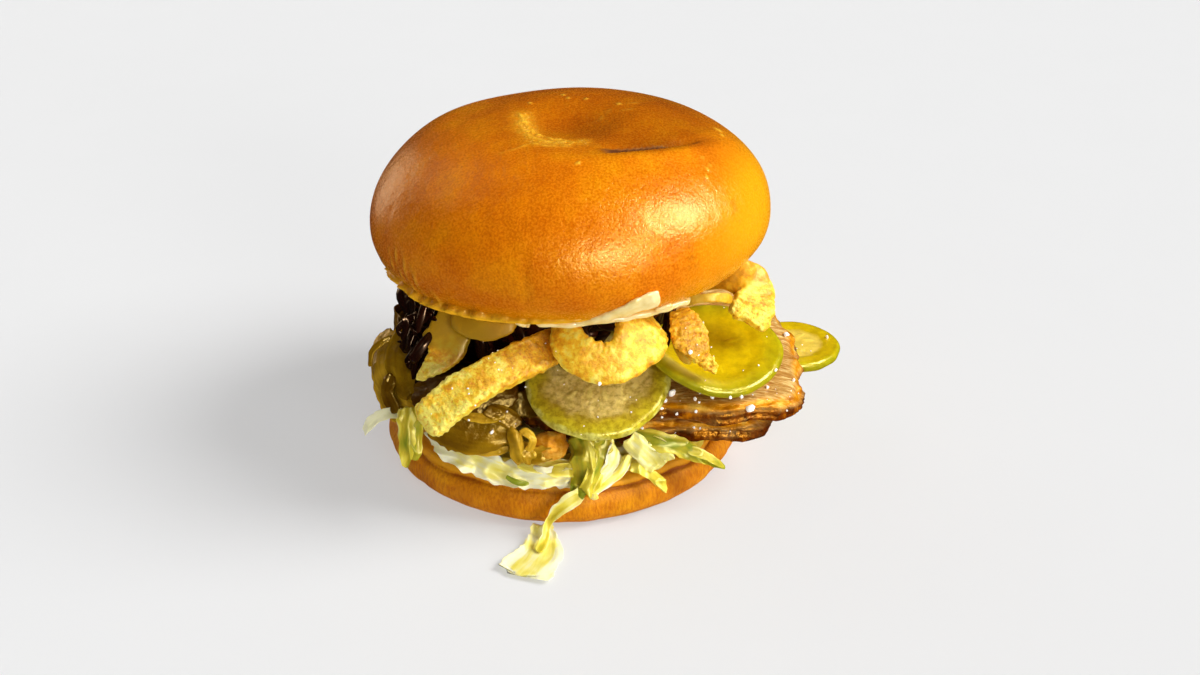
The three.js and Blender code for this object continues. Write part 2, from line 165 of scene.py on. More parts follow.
def strip(bm, path, faces, width, thick, around=16, steps=40, tips=(0.8, 0.8), square=2.6, fold=None,
          ragged=0.0, seed=0.0):
    """A closed rounded strip along a path. Returns its vertices; "grain" is (along, across, proud) in mm."""
    path, faces = [Vector(p) for p in path], [Vector(f) for f in faces]
    grain = layer(bm, "grain")
    verts = stamp(bm, ("ball", around, steps), lambda ball: bmesh.ops.create_uvsphere(
        ball, u_segments=around, v_segments=steps, radius=1))
    length = length_of(path)
    power = 2 / square
    rings = {}
    for vert in verts:
        x, y, z = vert.co
        key = round(z, 4)
        if key not in rings:
            polar = math.acos(max(-1.0, min(1.0, z))) / math.pi
            t = 0.8 * polar + 0.2 * (1 - z) / 2
            share = tips[0 if t < 0.5 else 1]
            share += (1 - share) * (1 - abs(2 * t - 1) ** 4)
            blunt = min(min(t, 1 - t) * length / (0.5 * thick), 1)
            rounding = math.sqrt(max(1 - (1 - blunt) ** 2, 0))
            rings[key] = (t, share, rounding, width(t) if callable(width) else width,
                          *ring_at(path, faces, t))
        t, share, rounding, wide, place, along, side, out = rings[key]
        reach = math.hypot(x, y) or 1
        cx = math.copysign(abs(x / reach) ** power, x) if abs(x) > 1e-6 else 0
        cy = math.copysign(abs(y / reach) ** power, y) if abs(y) > 1e-6 else 0
        across = cx * wide * share * rounding / 2
        proud = cy * thick * math.sqrt(share) * rounding / 2
        if ragged:
            across *= 1 + 2 * ragged * lumps((t * length, 9.0 if x > 0 else -9.0, 0), 1.9, seed)
            nibble = lumps((across, 7 * t, 3), 1.7, seed + 2) * abs(2 * t - 1) ** 3
            place = place + along * (4.5 * min(ragged, 0.1) * min(wide, 6) * nibble)
        lift = fold(t * length, across) if fold else 0
        vert.co = place + side * across + out * (proud + lift)
        vert[grain] = (t * length, across, proud)
    return verts


def mark(bm, verts, name, value):
    """Gives the vertices one value of a mark. The mark exists before the vertices are made."""
    named = layer(bm, name)
    for vert in verts:
        vert[named] = value


def pill(edge, flat, turn, square=2.0):
    """Half outline of a disc with a rounded edge: edge is the share of its radius that turns down."""
    power = 2 / square
    bend = [(-0.5 + i / turn) * math.pi for i in range(turn + 1)]
    rim = [(1 - edge + edge * max(math.cos(a), 0) ** power,
            math.copysign(abs(math.sin(a)) ** power, a)) for a in bend]
    inner = [(1 - edge) * i / flat for i in range(flat)]
    return [(r, -1) for r in inner] + rim + [(r, 1) for r in reversed(inner)]


def disc(bm, profile, outline, thick, around, bend=None):
    """A flat slice: "grain" is (mm round its edge, mm in from its edge, height from -1 to 1)."""
    grain = layer(bm, "grain")
    for vert in stamp(bm, ("disc", len(profile), around), lambda plain: spun(plain, profile, around)):
        share, angle, z = math.hypot(vert.co.x, vert.co.y), math.atan2(vert.co.y, vert.co.x), vert.co.z
        reach = outline(angle)
        x, y = share * reach * math.cos(angle), share * reach * math.sin(angle)
        vert.co = (x, y, (bend(x, y) if bend else 0) + z * thick / 2)
        vert[grain] = (angle * reach, (1 - share) * reach, z)


def sculpt(bm, verts, height):
    """Moves each vertex along its normal by height(vertex) millimetres."""
    bm.normal_update()
    moves = [(vert, vert.normal * height(vert)) for vert in verts]
    for vert, move in moves:
        vert.co += move


def placed(at, tilt=(0, 0, 0)):
    """The same place and turn as a CAD node's, X then Y then Z."""
    turn = [Matrix.Rotation(math.radians(angle), 4, axis) for angle, axis in zip(tilt, "XYZ")]
    return Matrix.Translation(at) @ turn[0] @ turn[1] @ turn[2]


def finish_piece(bm, name, material, slot, *nodes):
    """Turns the shape to metres and makes it a piece that stands for its CAD nodes."""
    bmesh.ops.scale(bm, vec=(MM, MM, MM), verts=bm.verts[:])
    mesh = bpy.data.meshes.new(name)
    bm.to_mesh(mesh)
    bm.free()
    mesh.shade_smooth()
    mesh.materials.append(material)
    piece = bpy.data.objects.new(name, mesh)
    bpy.context.scene.collection.objects.link(piece)
    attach(piece, "root")
    if nodes:
        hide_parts(*nodes)
    return piece


# Materials

def add(tree, kind, settings=None, links=None):
    """Adds a node. Settings are its properties, input values or ramp stops; links feed its inputs."""
    node = tree.nodes.new("ShaderNode" + kind)
    for name, value in (settings or {}).items():
        if name == "stops":
            marks = node.color_ramp.elements
            while len(marks) < len(value):
                marks.new(1)
            for mark, (position, colour) in zip(marks, value):
                mark.position, mark.color = position, linear(colour)
        elif isinstance(name, int) or name in node.inputs:
            node.inputs[name].default_value = linear(value) if isinstance(value, str) else value
        else:
            setattr(node, name, value)
    for name, source in (links or {}).items():
        source, output = source if isinstance(source, tuple) else (source, 0)
        tree.links.new(source.outputs[output], node.inputs[name])
    return node


def material_of(name, draw):
    """A material whose nodes draw(tree) makes and returns the shader of."""
    material = bpy.data.materials.new(name)
    material.use_nodes = True
    tree = material.node_tree
    tree.nodes.clear()
    add(tree, "OutputMaterial", links={"Surface": draw(tree)})
    return material


MULTIPLY = {"data_type": "RGBA", "blend_type": "MULTIPLY"}
BLEND = {"data_type": "RGBA"}


def egg_washed_crust(tree):
    """Baked egg wash: a deep orange gold with a fine darker grain and a soft, slightly crinkled gloss."""
    place = (add(tree, "TexCoord"), "Object")
    sunny, shade, pucker, ridge, crease, crumb = (
        (add(tree, "Attribute", {"attribute_name": name}), "Fac")
        for name in ("sunny", "shade", "pucker", "ridge", "crease", "crumb"))
    blotch = add(tree, "TexNoise", {"Scale": per_mm(15), "Detail": 3}, {"Vector": place})
    # Real egg wash has a grain that is finer than a pixel, so it is drawn coarser, like its brush streaks.
    grain = add(tree, "TexNoise", {"Scale": per_mm(0.6), "Detail": 4, "Roughness": 0.55}, {"Vector": place})
    brushed = add(tree, "Mapping", {"Rotation": (0, 0.5, 0.6), "Scale": (1, 0.35, 1.2)}, {"Vector": place})
    streaks = add(tree, "TexNoise", {"Scale": per_mm(0.8), "Detail": 3, "Roughness": 0.6},
                  {"Vector": brushed})
    dimple = add(tree, "TexNoise", {"Scale": per_mm(5), "Detail": 3}, {"Vector": place})
    base = add(tree, "ValToRGB", {"stops": [(0.32, "#d87202"), (0.5, "#e57f02"), (0.68, "#ee9203")]},
               {0: blotch})
    dark = add(tree, "ValToRGB", {"stops": [(0.34, "#d0964a"), (0.58, "#ffffff")]}, {0: grain})
    base = add(tree, "Mix", {**MULTIPLY, 0: 0.6}, {6: base, 7: dark})
    # Paler towards the rim, where the crust baked less, and painted light on the right side, which faces the
    # lamp; then painted shade is multiplied in.
    base = add(tree, "Mix", {**BLEND, 7: "#f0a408"}, {0: sunny, 6: (base, 2)})
    base = add(tree, "Mix", {**MULTIPLY, 7: "#bcb868"}, {0: shade, 6: (base, 2)})
    # Pucker paints the stretched skin paler and the lines pale crinkles: partly the skin's own colour, partly
    # painted highlight.
    drawn = add(tree, "Mapping", {"Rotation": (0, 0, 0.55), "Scale": (0.4, 1, 1)}, {"Vector": place})
    drawn = add(tree, "TexNoise", {"Scale": per_mm(1.1), "Detail": 2, "Distortion": 0.5}, {"Vector": drawn})
    lines = add(tree, "ValToRGB", {"stops": [(0.43, "#000000"), (0.5, "#ffffff"), (0.57, "#000000")]},
                {0: drawn})
    lines = add(tree, "Math", {"operation": "MULTIPLY"}, {0: lines, 1: pucker})
    lines = add(tree, "Math", {"operation": "MAXIMUM"}, {0: lines, 1: ridge})
    # Crease blends in near-black brown: painted shade in the fold, and also the crust's darker toasted spots.
    for colour, where in [("#f49a0c", pucker), ("#ffca38", lines), ("#501400", crease), ("#f0b018", crumb)]:
        base = add(tree, "Mix", {**BLEND, 7: colour}, {0: where, 6: (base, 2)})
    dry = add(tree, "Math", {"operation": "MAXIMUM"}, {0: crumb, 1: crease})
    rough = add(tree, "MapRange", {"From Min": 0.35, "From Max": 0.65, "To Min": 0.17, "To Max": 0.33},
                {"Value": grain})
    rough = add(tree, "Math", {"operation": "MAXIMUM"}, {0: rough, 1: dry})
    low = add(tree, "Bump", {"Distance": 0.4 * MM}, {"Height": dimple})
    low = add(tree, "Bump", {"Distance": 0.25 * MM}, {"Height": lines, "Normal": low})
    fine = add(tree, "Bump", {"Distance": 0.08 * MM}, {"Height": grain, "Normal": low})
    fine = add(tree, "Bump", {"Distance": 0.13 * MM}, {"Height": streaks, "Normal": fine})
    return add(tree, "BsdfPrincipled", {"Specular Tint": "#ffdc84", "Specular IOR Level": 0.34},
               {"Base Color": (base, 2), "Roughness": rough, "Normal": fine})


def bun_side_crust(tree):
    """Bread crust that rose in its pan: golden, with fine upright fibres and a toasted lip."""
    place = (add(tree, "TexCoord"), "Object")
    lip, crease, crumb = ((add(tree, "Attribute", {"attribute_name": name}), "Fac")
                          for name in ("lip", "crease", "crumb"))
    upright = add(tree, "Mapping", {"Scale": (1, 1, 0.3)}, {"Vector": place})
    blotch = add(tree, "TexNoise", {"Scale": per_mm(10), "Detail": 4}, {"Vector": place})
    fibre = add(tree, "TexNoise", {"Scale": per_mm(0.7), "Detail": 4, "Roughness": 0.6}, {"Vector": upright})
    pore = add(tree, "TexNoise", {"Scale": per_mm(0.7), "Detail": 2}, {"Vector": place})
    base = add(tree, "ValToRGB", {"stops": [(0.3, "#cf7a04"), (0.5, "#e08c06"), (0.7, "#ea9c0c")]},
               {0: blotch})
    dark = add(tree, "ValToRGB", {"stops": [(0.36, "#d09a50"), (0.6, "#ffffff")]}, {0: fibre})
    base = add(tree, "Mix", {**MULTIPLY, 0: 0.6}, {6: base, 7: dark})
    # The crease mark darkens the groove under the lip and the pleat, as painted shade, and also the foot.
    for colour, where in [("#f2a81c", lip), ("#8a3e02", crease), ("#f0c458", crumb)]:
        base = add(tree, "Mix", {**BLEND, 7: colour}, {0: where, 6: (base, 2)})
    low = add(tree, "Bump", {"Distance": 0.2 * MM}, {"Height": fibre})
    fine = add(tree, "Bump", {"Distance": 0.15 * MM}, {"Height": pore, "Normal": low})
    return add(tree, "BsdfPrincipled",
               {"Roughness": 0.5, "Specular Tint": "#ffd890", "Specular IOR Level": 0.2},
               {"Base Color": (base, 2), "Normal": fine})


def creamy_sauce(tree):
    """Mayonnaise-like sauce: thick, wet, creamy white, and light passes a little way in."""
    place = (add(tree, "TexCoord"), "Object")
    cloud = add(tree, "TexNoise", {"Scale": per_mm(3), "Detail": 3}, {"Vector": place})
    base = add(tree, "ValToRGB", {"stops": [(0.35, "#f0d280"), (0.65, "#fbe8a8")]}, {0: cloud})
    bump = add(tree, "Bump", {"Distance": 0.25 * MM}, {"Height": cloud})
    return add(tree, "BsdfPrincipled",
               {"Roughness": 0.25, "Specular IOR Level": 0.4, "Subsurface Weight": 0.2,
                "Subsurface Radius": (1, 0.8, 0.4), "Subsurface Scale": 1 * MM},
               {"Base Color": base, "Normal": bump})


def puffed_crackling(tree):
    """Fried pork rind: dry, a sandy bright yellow where it puffed, olive amber, partly as painted shade,
    where it stayed smooth.
    """
    place = (add(tree, "TexCoord"), "Object")
    tone, hollow, sand = ((add(tree, "Attribute", {"attribute_name": name}), "Fac")
                          for name in ("tone", "hollow", "sand"))
    spots = add(tree, "TexNoise", {"Scale": per_mm(3.0), "Detail": 5, "Roughness": 0.65}, {"Vector": place})
    grit = add(tree, "TexNoise", {"Scale": per_mm(0.6), "Detail": 3, "Roughness": 0.6}, {"Vector": place})
    toast = add(tree, "Math", {"operation": "MULTIPLY_ADD", 1: 1.8}, {0: spots, 2: tone})
    base = add(tree, "ValToRGB", {"stops": [(0.36, "#fff070"), (0.5, "#ffe042"), (0.68, "#f4b820"),
                                            (0.98, "#c88c1a")]}, {0: toast})
    # Hollows between the puffs are multiplied darker: painted shade.
    dark = add(tree, "ValToRGB", {"stops": [(0.0, "#ffffff"), (0.5, "#fce8b4"), (1.0, "#c8a040")]},
               {0: hollow})
    base = add(tree, "Mix", {**MULTIPLY, 0: 0.8}, {6: base, 7: dark})
    speck = add(tree, "ValToRGB", {"stops": [(0.34, "#e8a440"), (0.48, "#ffffff")]}, {0: grit})
    # Smooth parts are blended towards olive amber, which partly paints the shade of the pieces tucked under
    # the crown.
    smooth = add(tree, "MapRange", {"From Max": 0.45, "To Min": 0.7, "To Max": 0}, {"Value": sand})
    base = add(tree, "Mix", {**BLEND, 7: "#ac8c12"}, {0: smooth, 6: (base, 2)})
    shown = add(tree, "Math", {"operation": "MULTIPLY", 1: 0.7}, {0: sand})
    base = add(tree, "Mix", MULTIPLY, {0: shown, 6: (base, 2), 7: speck})
    low = add(tree, "Bump", {"Distance": 0.8 * MM}, {"Height": spots, "Strength": shown})
    fine = add(tree, "Bump", {"Distance": 0.35 * MM}, {"Height": grit, "Strength": shown, "Normal": low})
    return add(tree, "BsdfPrincipled",
               {"Roughness": 0.4, "Specular Tint": "#ffe6a8", "Specular IOR Level": 0.35},
               {"Base Color": (base, 2), "Normal": fine})


def pickled_cucumber(tree):
    """Dill pickle: wet and slightly clear, a dark olive rind, yellow-green flesh and a pale seedy middle."""
    place = (add(tree, "TexCoord"), "Object")
    grain = (add(tree, "Attribute", {"attribute_name": "grain"}), "Vector")
    tone, seed = ((add(tree, "Attribute", {"attribute_name": name}), "Fac") for name in ("tone", "seed"))
    parts = add(tree, "SeparateXYZ", links={"Vector": grain})
    wobble = add(tree, "TexNoise", {"Scale": per_mm(5), "Detail": 3}, {"Vector": place})
    wobble = add(tree, "MapRange", {"From Min": 0.3, "From Max": 0.7, "To Min": -1.4, "To Max": 1.4},
                 {"Value": wobble})
    inset = add(tree, "Math", {"operation": "ADD"}, {0: (parts, "Y"), 1: wobble})
    inset = add(tree, "MapRange", {"From Min": 0, "From Max": 20}, {"Value": inset})
    cells = add(tree, "TexNoise", {"Scale": per_mm(1.3), "Detail": 3, "Roughness": 0.6}, {"Vector": place})
    cloud = add(tree, "TexNoise", {"Scale": per_mm(3), "Detail": 4, "Roughness": 0.6}, {"Vector": place})
    cool = add(tree, "ValToRGB", {"stops": [(0.0, "#dcd468"), (0.04, "#d2c22c"), (0.16, "#d2bc26"),
                                            (0.25, "#c4a834"), (0.36, "#f2d87c")]}, {0: inset})
    warm = add(tree, "ValToRGB", {"stops": [(0.0, "#a8a00c"), (0.06, "#bcae08"), (0.18, "#ccb606"),
                                            (0.36, "#e0c206"), (0.8, "#e2c408"), (1.0, "#fce060")]},
               {0: inset})
    base = add(tree, "Mix", BLEND, {0: tone, 6: cool, 7: warm})
    dark = add(tree, "ValToRGB", {"stops": [(0.36, "#a8944c"), (0.58, "#ffffff")]}, {0: cells})
    shown = add(tree, "MapRange", {"To Min": 0.6, "To Max": 0.15}, {"Value": tone})
    base = add(tree, "Mix", MULTIPLY, {0: shown, 6: (base, 2), 7: dark})
    veil = add(tree, "ValToRGB", {"stops": [(0.36, "#c8ba78"), (0.6, "#ffffff")]}, {0: cloud})
    base = add(tree, "Mix", {**MULTIPLY, 0: 0.4}, {6: (base, 2), 7: veil})
    # The seed mark paints the pale seeds and, along the curled fold, a painted highlight.
    base = add(tree, "Mix", {**BLEND, 7: "#f2e070"}, {0: seed, 6: (base, 2)})
    low = add(tree, "Bump", {"Distance": 0.3 * MM}, {"Height": cloud})
    fine = add(tree, "Bump", {"Distance": 0.18 * MM}, {"Height": cells, "Strength": shown, "Normal": low})
    return add(tree, "BsdfPrincipled",
               {"Roughness": 0.24, "Specular Tint": "#ffec90", "Subsurface Weight": 0.25,
                "Subsurface Radius": (1, 0.9, 0.2), "Subsurface Scale": 1.5 * MM},
               {"Base Color": (base, 2), "Normal": fine})


def glazed_roast_pork(tree):
    """Roast pork under a sticky glaze: tan fibres, a golden wet edge and dark caramel bark."""
    place = (add(tree, "TexCoord"), "Object")
    grain = (add(tree, "Attribute", {"attribute_name": "grain"}), "Vector")
    gold, bark = ((add(tree, "Attribute", {"attribute_name": name}), "Fac") for name in ("gold", "bark"))
    # The fibres are 0.9 mm apart and run on for about 5 mm.
    inward = add(tree, "Mapping", {"Scale": (1.0 / 0.9, 1.0 / 5, 1.6)}, {"Vector": grain})
    fibre = add(tree, "TexNoise", {"Scale": 1, "Detail": 4, "Roughness": 0.6, "Distortion": 0.6},
                {"Vector": inward})
    blotch = add(tree, "TexNoise", {"Scale": per_mm(3.5), "Detail": 5, "Roughness": 0.6}, {"Vector": place})
    juice = add(tree, "TexNoise", {"Scale": per_mm(1.3), "Detail": 3}, {"Vector": place})
    meat = add(tree, "ValToRGB", {"stops": [(0.32, "#a46a2c"), (0.5, "#ca964a"), (0.66, "#f2d48c")]},
               {0: fibre})
    glaze = add(tree, "ValToRGB", {"stops": [(0.3, "#b05c02"), (0.5, "#e09008"), (0.7, "#fad058")]},
                {0: blotch})
    crust = add(tree, "ValToRGB", {"stops": [(0.34, "#300e02"), (0.52, "#6c2c00"), (0.7, "#c87404")]},
                {0: blotch})
    base = add(tree, "Mix", BLEND, {0: gold, 6: meat, 7: glaze})
    base = add(tree, "Mix", BLEND, {0: bark, 6: (base, 2), 7: crust})
    low = add(tree, "Bump", {"Distance": 0.35 * MM}, {"Height": fibre})
    fine = add(tree, "Bump", {"Distance": 0.35 * MM}, {"Height": juice, "Normal": low})
    return add(tree, "BsdfPrincipled",
               {"Roughness": 0.24, "Specular Tint": "#ffb03c", "Specular IOR Level": 0.4,
                "Subsurface Weight": 0.05, "Subsurface Radius": (1, 0.4, 0.15), "Subsurface Scale": 1.5 * MM},
               {"Base Color": (base, 2), "Normal": fine})


def softened_onion(tree):
    """Onion cooked until clear: olive amber and wet, with fine veins along each layer."""
    grain = (add(tree, "Attribute", {"attribute_name": "grain"}), "Vector")
    tone = (add(tree, "Attribute", {"attribute_name": "tone"}), "Fac")
    # Veins run with each layer, 1.2 mm apart.
    along = add(tree, "Mapping", {"Scale": (1.0 / 16, 1.0 / 1.2, 0.4)}, {"Vector": grain})
    veins = add(tree, "TexNoise", {"Scale": 1, "Detail": 3}, {"Vector": along})
    shade = add(tree, "Math", {"operation": "MULTIPLY_ADD", 1: 0.35}, {0: veins, 2: tone})
    base = add(tree, "ValToRGB", {"stops": [(0.15, "#4e2c04"), (0.4, "#745006"), (0.65, "#9c740e"),
                                            (0.95, "#eab830")]}, {0: shade})
    place = (add(tree, "TexCoord"), "Object")
    syrup = add(tree, "TexNoise", {"Scale": per_mm(1.1), "Detail": 3, "Roughness": 0.6}, {"Vector": place})
    low = add(tree, "Bump", {"Distance": 0.15 * MM}, {"Height": veins})
    fine = add(tree, "Bump", {"Distance": 0.3 * MM}, {"Height": syrup, "Normal": low})
    return add(tree, "BsdfPrincipled",
               {"Roughness": 0.16, "Specular Tint": "#ffd878", "Specular IOR Level": 0.34,
                "Subsurface Weight": 0.15, "Subsurface Radius": (1, 0.7, 0.12), "Subsurface Scale": 2 * MM},
               {"Base Color": base, "Normal": fine})


def dark_braised_onion(tree):
    """Onion braised down in soy and sugar: nearly black, glossy, red-brown where it is thin."""
    grain = (add(tree, "Attribute", {"attribute_name": "grain"}), "Vector")
    tone = (add(tree, "Attribute", {"attribute_name": "tone"}), "Fac")
    along = add(tree, "Mapping", {"Scale": (1.0 / 12, 1.0 / 1.2, 0.4)}, {"Vector": grain})
    veins = add(tree, "TexNoise", {"Scale": 1, "Detail": 3}, {"Vector": along})
    shade = add(tree, "Math", {"operation": "MULTIPLY_ADD", 1: 0.5}, {0: veins, 2: tone})
    base = add(tree, "ValToRGB", {"stops": [(0.25, "#140503"), (0.55, "#260a04"), (0.9, "#5a1c06")]},
               {0: shade})
    bump = add(tree, "Bump", {"Distance": 0.15 * MM}, {"Height": veins})
    return add(tree, "BsdfPrincipled",
               {"Roughness": 0.24, "Specular Tint": "#ffd0a0", "Specular IOR Level": 0.28},
               {"Base Color": base, "Normal": bump})


def crisp_lettuce(tree):
    """Shredded iceberg lettuce: thin and moist, cream at the rib and yellow-green where it thickens."""
    grain = (add(tree, "Attribute", {"attribute_name": "grain"}), "Vector")
    tone = (add(tree, "Attribute", {"attribute_name": "tone"}), "Fac")
    # The small veins are 1.4 mm apart.
    flat = add(tree, "Mapping", {"Scale": (1.0 / 6, 1.0 / 1.4, 0)}, {"Vector": grain})
    veins = add(tree, "TexNoise", {"Scale": 1, "Detail": 4, "Distortion": 0.6}, {"Vector": flat})
    shade = add(tree, "Math", {"operation": "MULTIPLY_ADD", 1: 0.6}, {0: veins, 2: tone})
    base = add(tree, "ValToRGB", {"stops": [(0.16, "#fffac8"), (0.3, "#fef08c"), (0.5, "#eeda4c"),
                                            (0.72, "#cab42a"), (1.0, "#869014")]}, {0: shade})
    bump = add(tree, "Bump", {"Distance": 0.2 * MM}, {"Height": veins})
    return add(tree, "BsdfPrincipled",
               {"Roughness": 0.38, "Specular Tint": "#fff0a8", "Subsurface Weight": 0.4,
                "Subsurface Radius": (1, 1, 0.3), "Subsurface Scale": 1.2 * MM},
               {"Base Color": base, "Normal": bump})


def flaky_salt(tree):
    """Coarse salt: small clear white crystals that glint and, as painted light, glow faintly."""
    place = (add(tree, "TexCoord"), "Object")
    # The frost on a real crystal is finer than a pixel, so it is drawn coarser.
    frost = add(tree, "TexNoise", {"Scale": per_mm(0.5)}, {"Vector": place})
    base = add(tree, "ValToRGB", {"stops": [(0.3, "#fff6e4"), (0.6, "#ffffff")]}, {0: frost})
    # The crystals also glow faintly, though they are no lamp: painted light.
    return add(tree, "BsdfPrincipled",
               {"Roughness": 0.35, "IOR": 1.54, "Emission Color": "#fff8ec", "Emission Strength": 0.25},
               {"Base Color": base})


def frosted_backdrop(tree):
    """Frosted white acrylic, lit evenly from above and a little from behind."""
    place = (add(tree, "TexCoord"), "Object")
    # The frosting itself is too fine to see, so it is drawn much coarser, as a faint cloud.
    cloud = add(tree, "TexNoise", {"Scale": per_mm(40)}, {"Vector": place})
    base = add(tree, "ValToRGB", {"stops": [(0.0, "#a8a8a8"), (1.0, "#aaaaaa")]}, {0: cloud})
    return add(tree, "BsdfPrincipled",
               {"Roughness": 0.9, "Specular IOR Level": 0.0, "Emission Color": "#ffffff",
                "Emission Strength": 0.42},
               {"Base Color": base})


CRUST = material_of("egg_washed_crust", egg_washed_crust)
SIDE_CRUST = material_of("bun_side_crust", bun_side_crust)
SAUCE = material_of("creamy_sauce", creamy_sauce)
CRACKLING = material_of("puffed_crackling", puffed_crackling)
PICKLE = material_of("pickled_cucumber", pickled_cucumber)
PORK = material_of("glazed_roast_pork", glazed_roast_pork)
ONION = material_of("softened_onion", softened_onion)
DARK_ONION = material_of("dark_braised_onion", dark_braised_onion)
LETTUCE = material_of("crisp_lettuce", crisp_lettuce)
SALT = material_of("flaky_salt", flaky_salt)
BACKDROP = material_of("frosted_backdrop", frosted_backdrop)


# Top bun

CROWN_RADIUS, CROWN_RISE, CROWN_BELLY, CROWN_SKIRT, CROWN_FULLNESS = 55, 29.8, 22, 10.5, 2.15
CROWN_PLACE = placed((2.65, 1, 70.4), (-3.1, -2.3, 0))
CREASE_AT, CREASE_TURN = Vector((20, -16.5)), math.radians(28)
CREASE_LIP, CREASE_BOW, CREASE_BOW_LIMIT = 7.1, 0.0105, 9
BOWL_AT, BOWL_SIZE = Vector((2, -7.5)), Vector((12.5, 11.5))
BOWL_DEPTH, VALLEY_DEPTH, SLIT_DEPTH, LIP_RISE, SHOULDER_RISE = 4.6, 1.9, 1.9, 0.3, 1.3
# Azimuths of the ragged edge at the front left, of the cleft in the rim and of the swelling at the back
RAGGED_AT, CLEFT_AT, SHOULDER_AT = math.radians(-132), math.radians(-102.2), math.radians(150)
RAGGED_WIDTH, SHOULDER_WIDTH = math.radians(42), math.radians(34)
# Pale lines of stretched skin, painted partly as the highlights its crinkles catch
PUCKERS = [
    # stretched skin beside the bowl: brightness, then points along each ridge
    (1.0, [(-12.4, 0.5), (-11.2, -6.5)]), (0.8, [(-11.2, 0), (-10.2, -7.5)]),
    (1.0, [(-10.6, -5), (-9.6, -12.5)]), (0.8, [(-12.2, -7), (-10.6, -13.5)]),
    (1.0, [(-9.4, -9), (-7.4, -15.8)]), (0.9, [(-11, -12), (-8.4, -18.4)]),
    (1.0, [(-8.8, -13.4), (-3.8, -17.6)]), (1.0, [(-9.6, -16.4), (-5, -20.6)]),
    (0.9, [(-6.6, -15.4), (-0.6, -18.2)]), (1.0, [(-7.8, -18.6), (-2.4, -21.4)]),
    (0.8, [(-4.4, -17.8), (2, -19.8)]), (0.9, [(-9, -21.4), (-4.6, -23.6)]),
    (0.9, [(-5, -21.6), (0.8, -22.6)]), (0.8, [(-1.4, -20.2), (4.6, -20.4)]),
    (0.7, [(-3.8, -23.4), (1, -24)]), (0.4, [(-17, -25), (-14.8, -24.6), (-12.4, -23.6), (-9.8, -22.2)]),
    (0.35, [(8.8, -4), (9.8, -2.4)]), (0.4, [(11.2, -0.8), (12, 0.6)]), (0.3, [(15, -1), (17.6, 0)]),
    (0.3, [(17, 4), (20, 5)]),
]
# The line that the stretched skin follows
PUCKERED = [(-11.6, -2), (-10.6, -8), (-9.4, -15), (-7, -19.5), (-1, -20.8), (3.6, -19.6)]
BLISTERS = [
    # place and size of each small bubble
    (-0.4, 12, 0.6), (0.9, 9.2, 0.5), (5.8, 8, 0.5), (14.6, 3.6, 0.6), (-9.4, 6.5, 0.5), (2.8, -32.5, 0.45),
    (41.2, 1.3, 0.9), (41.8, -2.4, 0.6), (35.8, -25.7, 0.5), (34.8, -22, 0.4), (35.4, -28.6, 0.4),
    (36.6, -24, 0.35),
]
PLEATS = [
    # gathered skin above the rim: azimuth at the top, height of the top, azimuth at the rim
    (-149.5, 4, -146.5), (-146, 7, -143), (-141.8, 6, -139.4), (-137.6, 2.6, -135.4), (-131, -3, -130),
]
# Place and size of each darker spot on the lower right of the crown
TOASTED = [(26, -38.5, 1.8), (41, -31, 2.2), (30, -46.5, 1.5)]


def crease_axes(x, y):
    """How far a point of the crown is along the pressed crease, and behind its lip, which bows forward."""
    step = Vector((x, y)) - CREASE_AT
    along = step.x * math.cos(CREASE_TURN) + step.y * math.sin(CREASE_TURN)
    across = step.y * math.cos(CREASE_TURN) - step.x * math.sin(CREASE_TURN)
    return along, across + CREASE_LIP - min(CREASE_BOW * (along + 1) ** 2, CREASE_BOW_LIMIT)


def off_line(x, y, points):
    """How far a point is from a line of points."""
    gaps = []
    for (ax, ay), (bx, by) in zip(points, points[1:]):
        share = ((x - ax) * (bx - ax) + (y - ay) * (by - ay)) / ((bx - ax) ** 2 + (by - ay) ** 2)
        share = min(max(share, 0), 1)
        gaps.append(math.hypot(x - ax - share * (bx - ax), y - ay - share * (by - ay)))
    return min(gaps)


def crown_skin(azimuth, z, lift=0.0):
    """A point on the crown's side at an azimuth in degrees and a height, and its outward normal."""
    limit = CROWN_RISE if z > 0 else CROWN_BELLY
    flat = 1 - (abs(z) / limit) ** CROWN_FULLNESS
    radius = CROWN_RADIUS * flat ** (1 / CROWN_FULLNESS)
    slope = -CROWN_RADIUS * flat ** (1 / CROWN_FULLNESS - 1)
    slope = slope * (abs(z) / limit) ** (CROWN_FULLNESS - 1) / limit
    angle = math.radians(azimuth)
    normal = Vector((math.cos(angle), math.sin(angle), math.copysign(-slope, z))).normalized()
    point = Vector((radius * math.cos(angle), radius * math.sin(angle), z)) + normal * lift
    return CROWN_PLACE @ point, CROWN_PLACE.to_3x3() @ normal


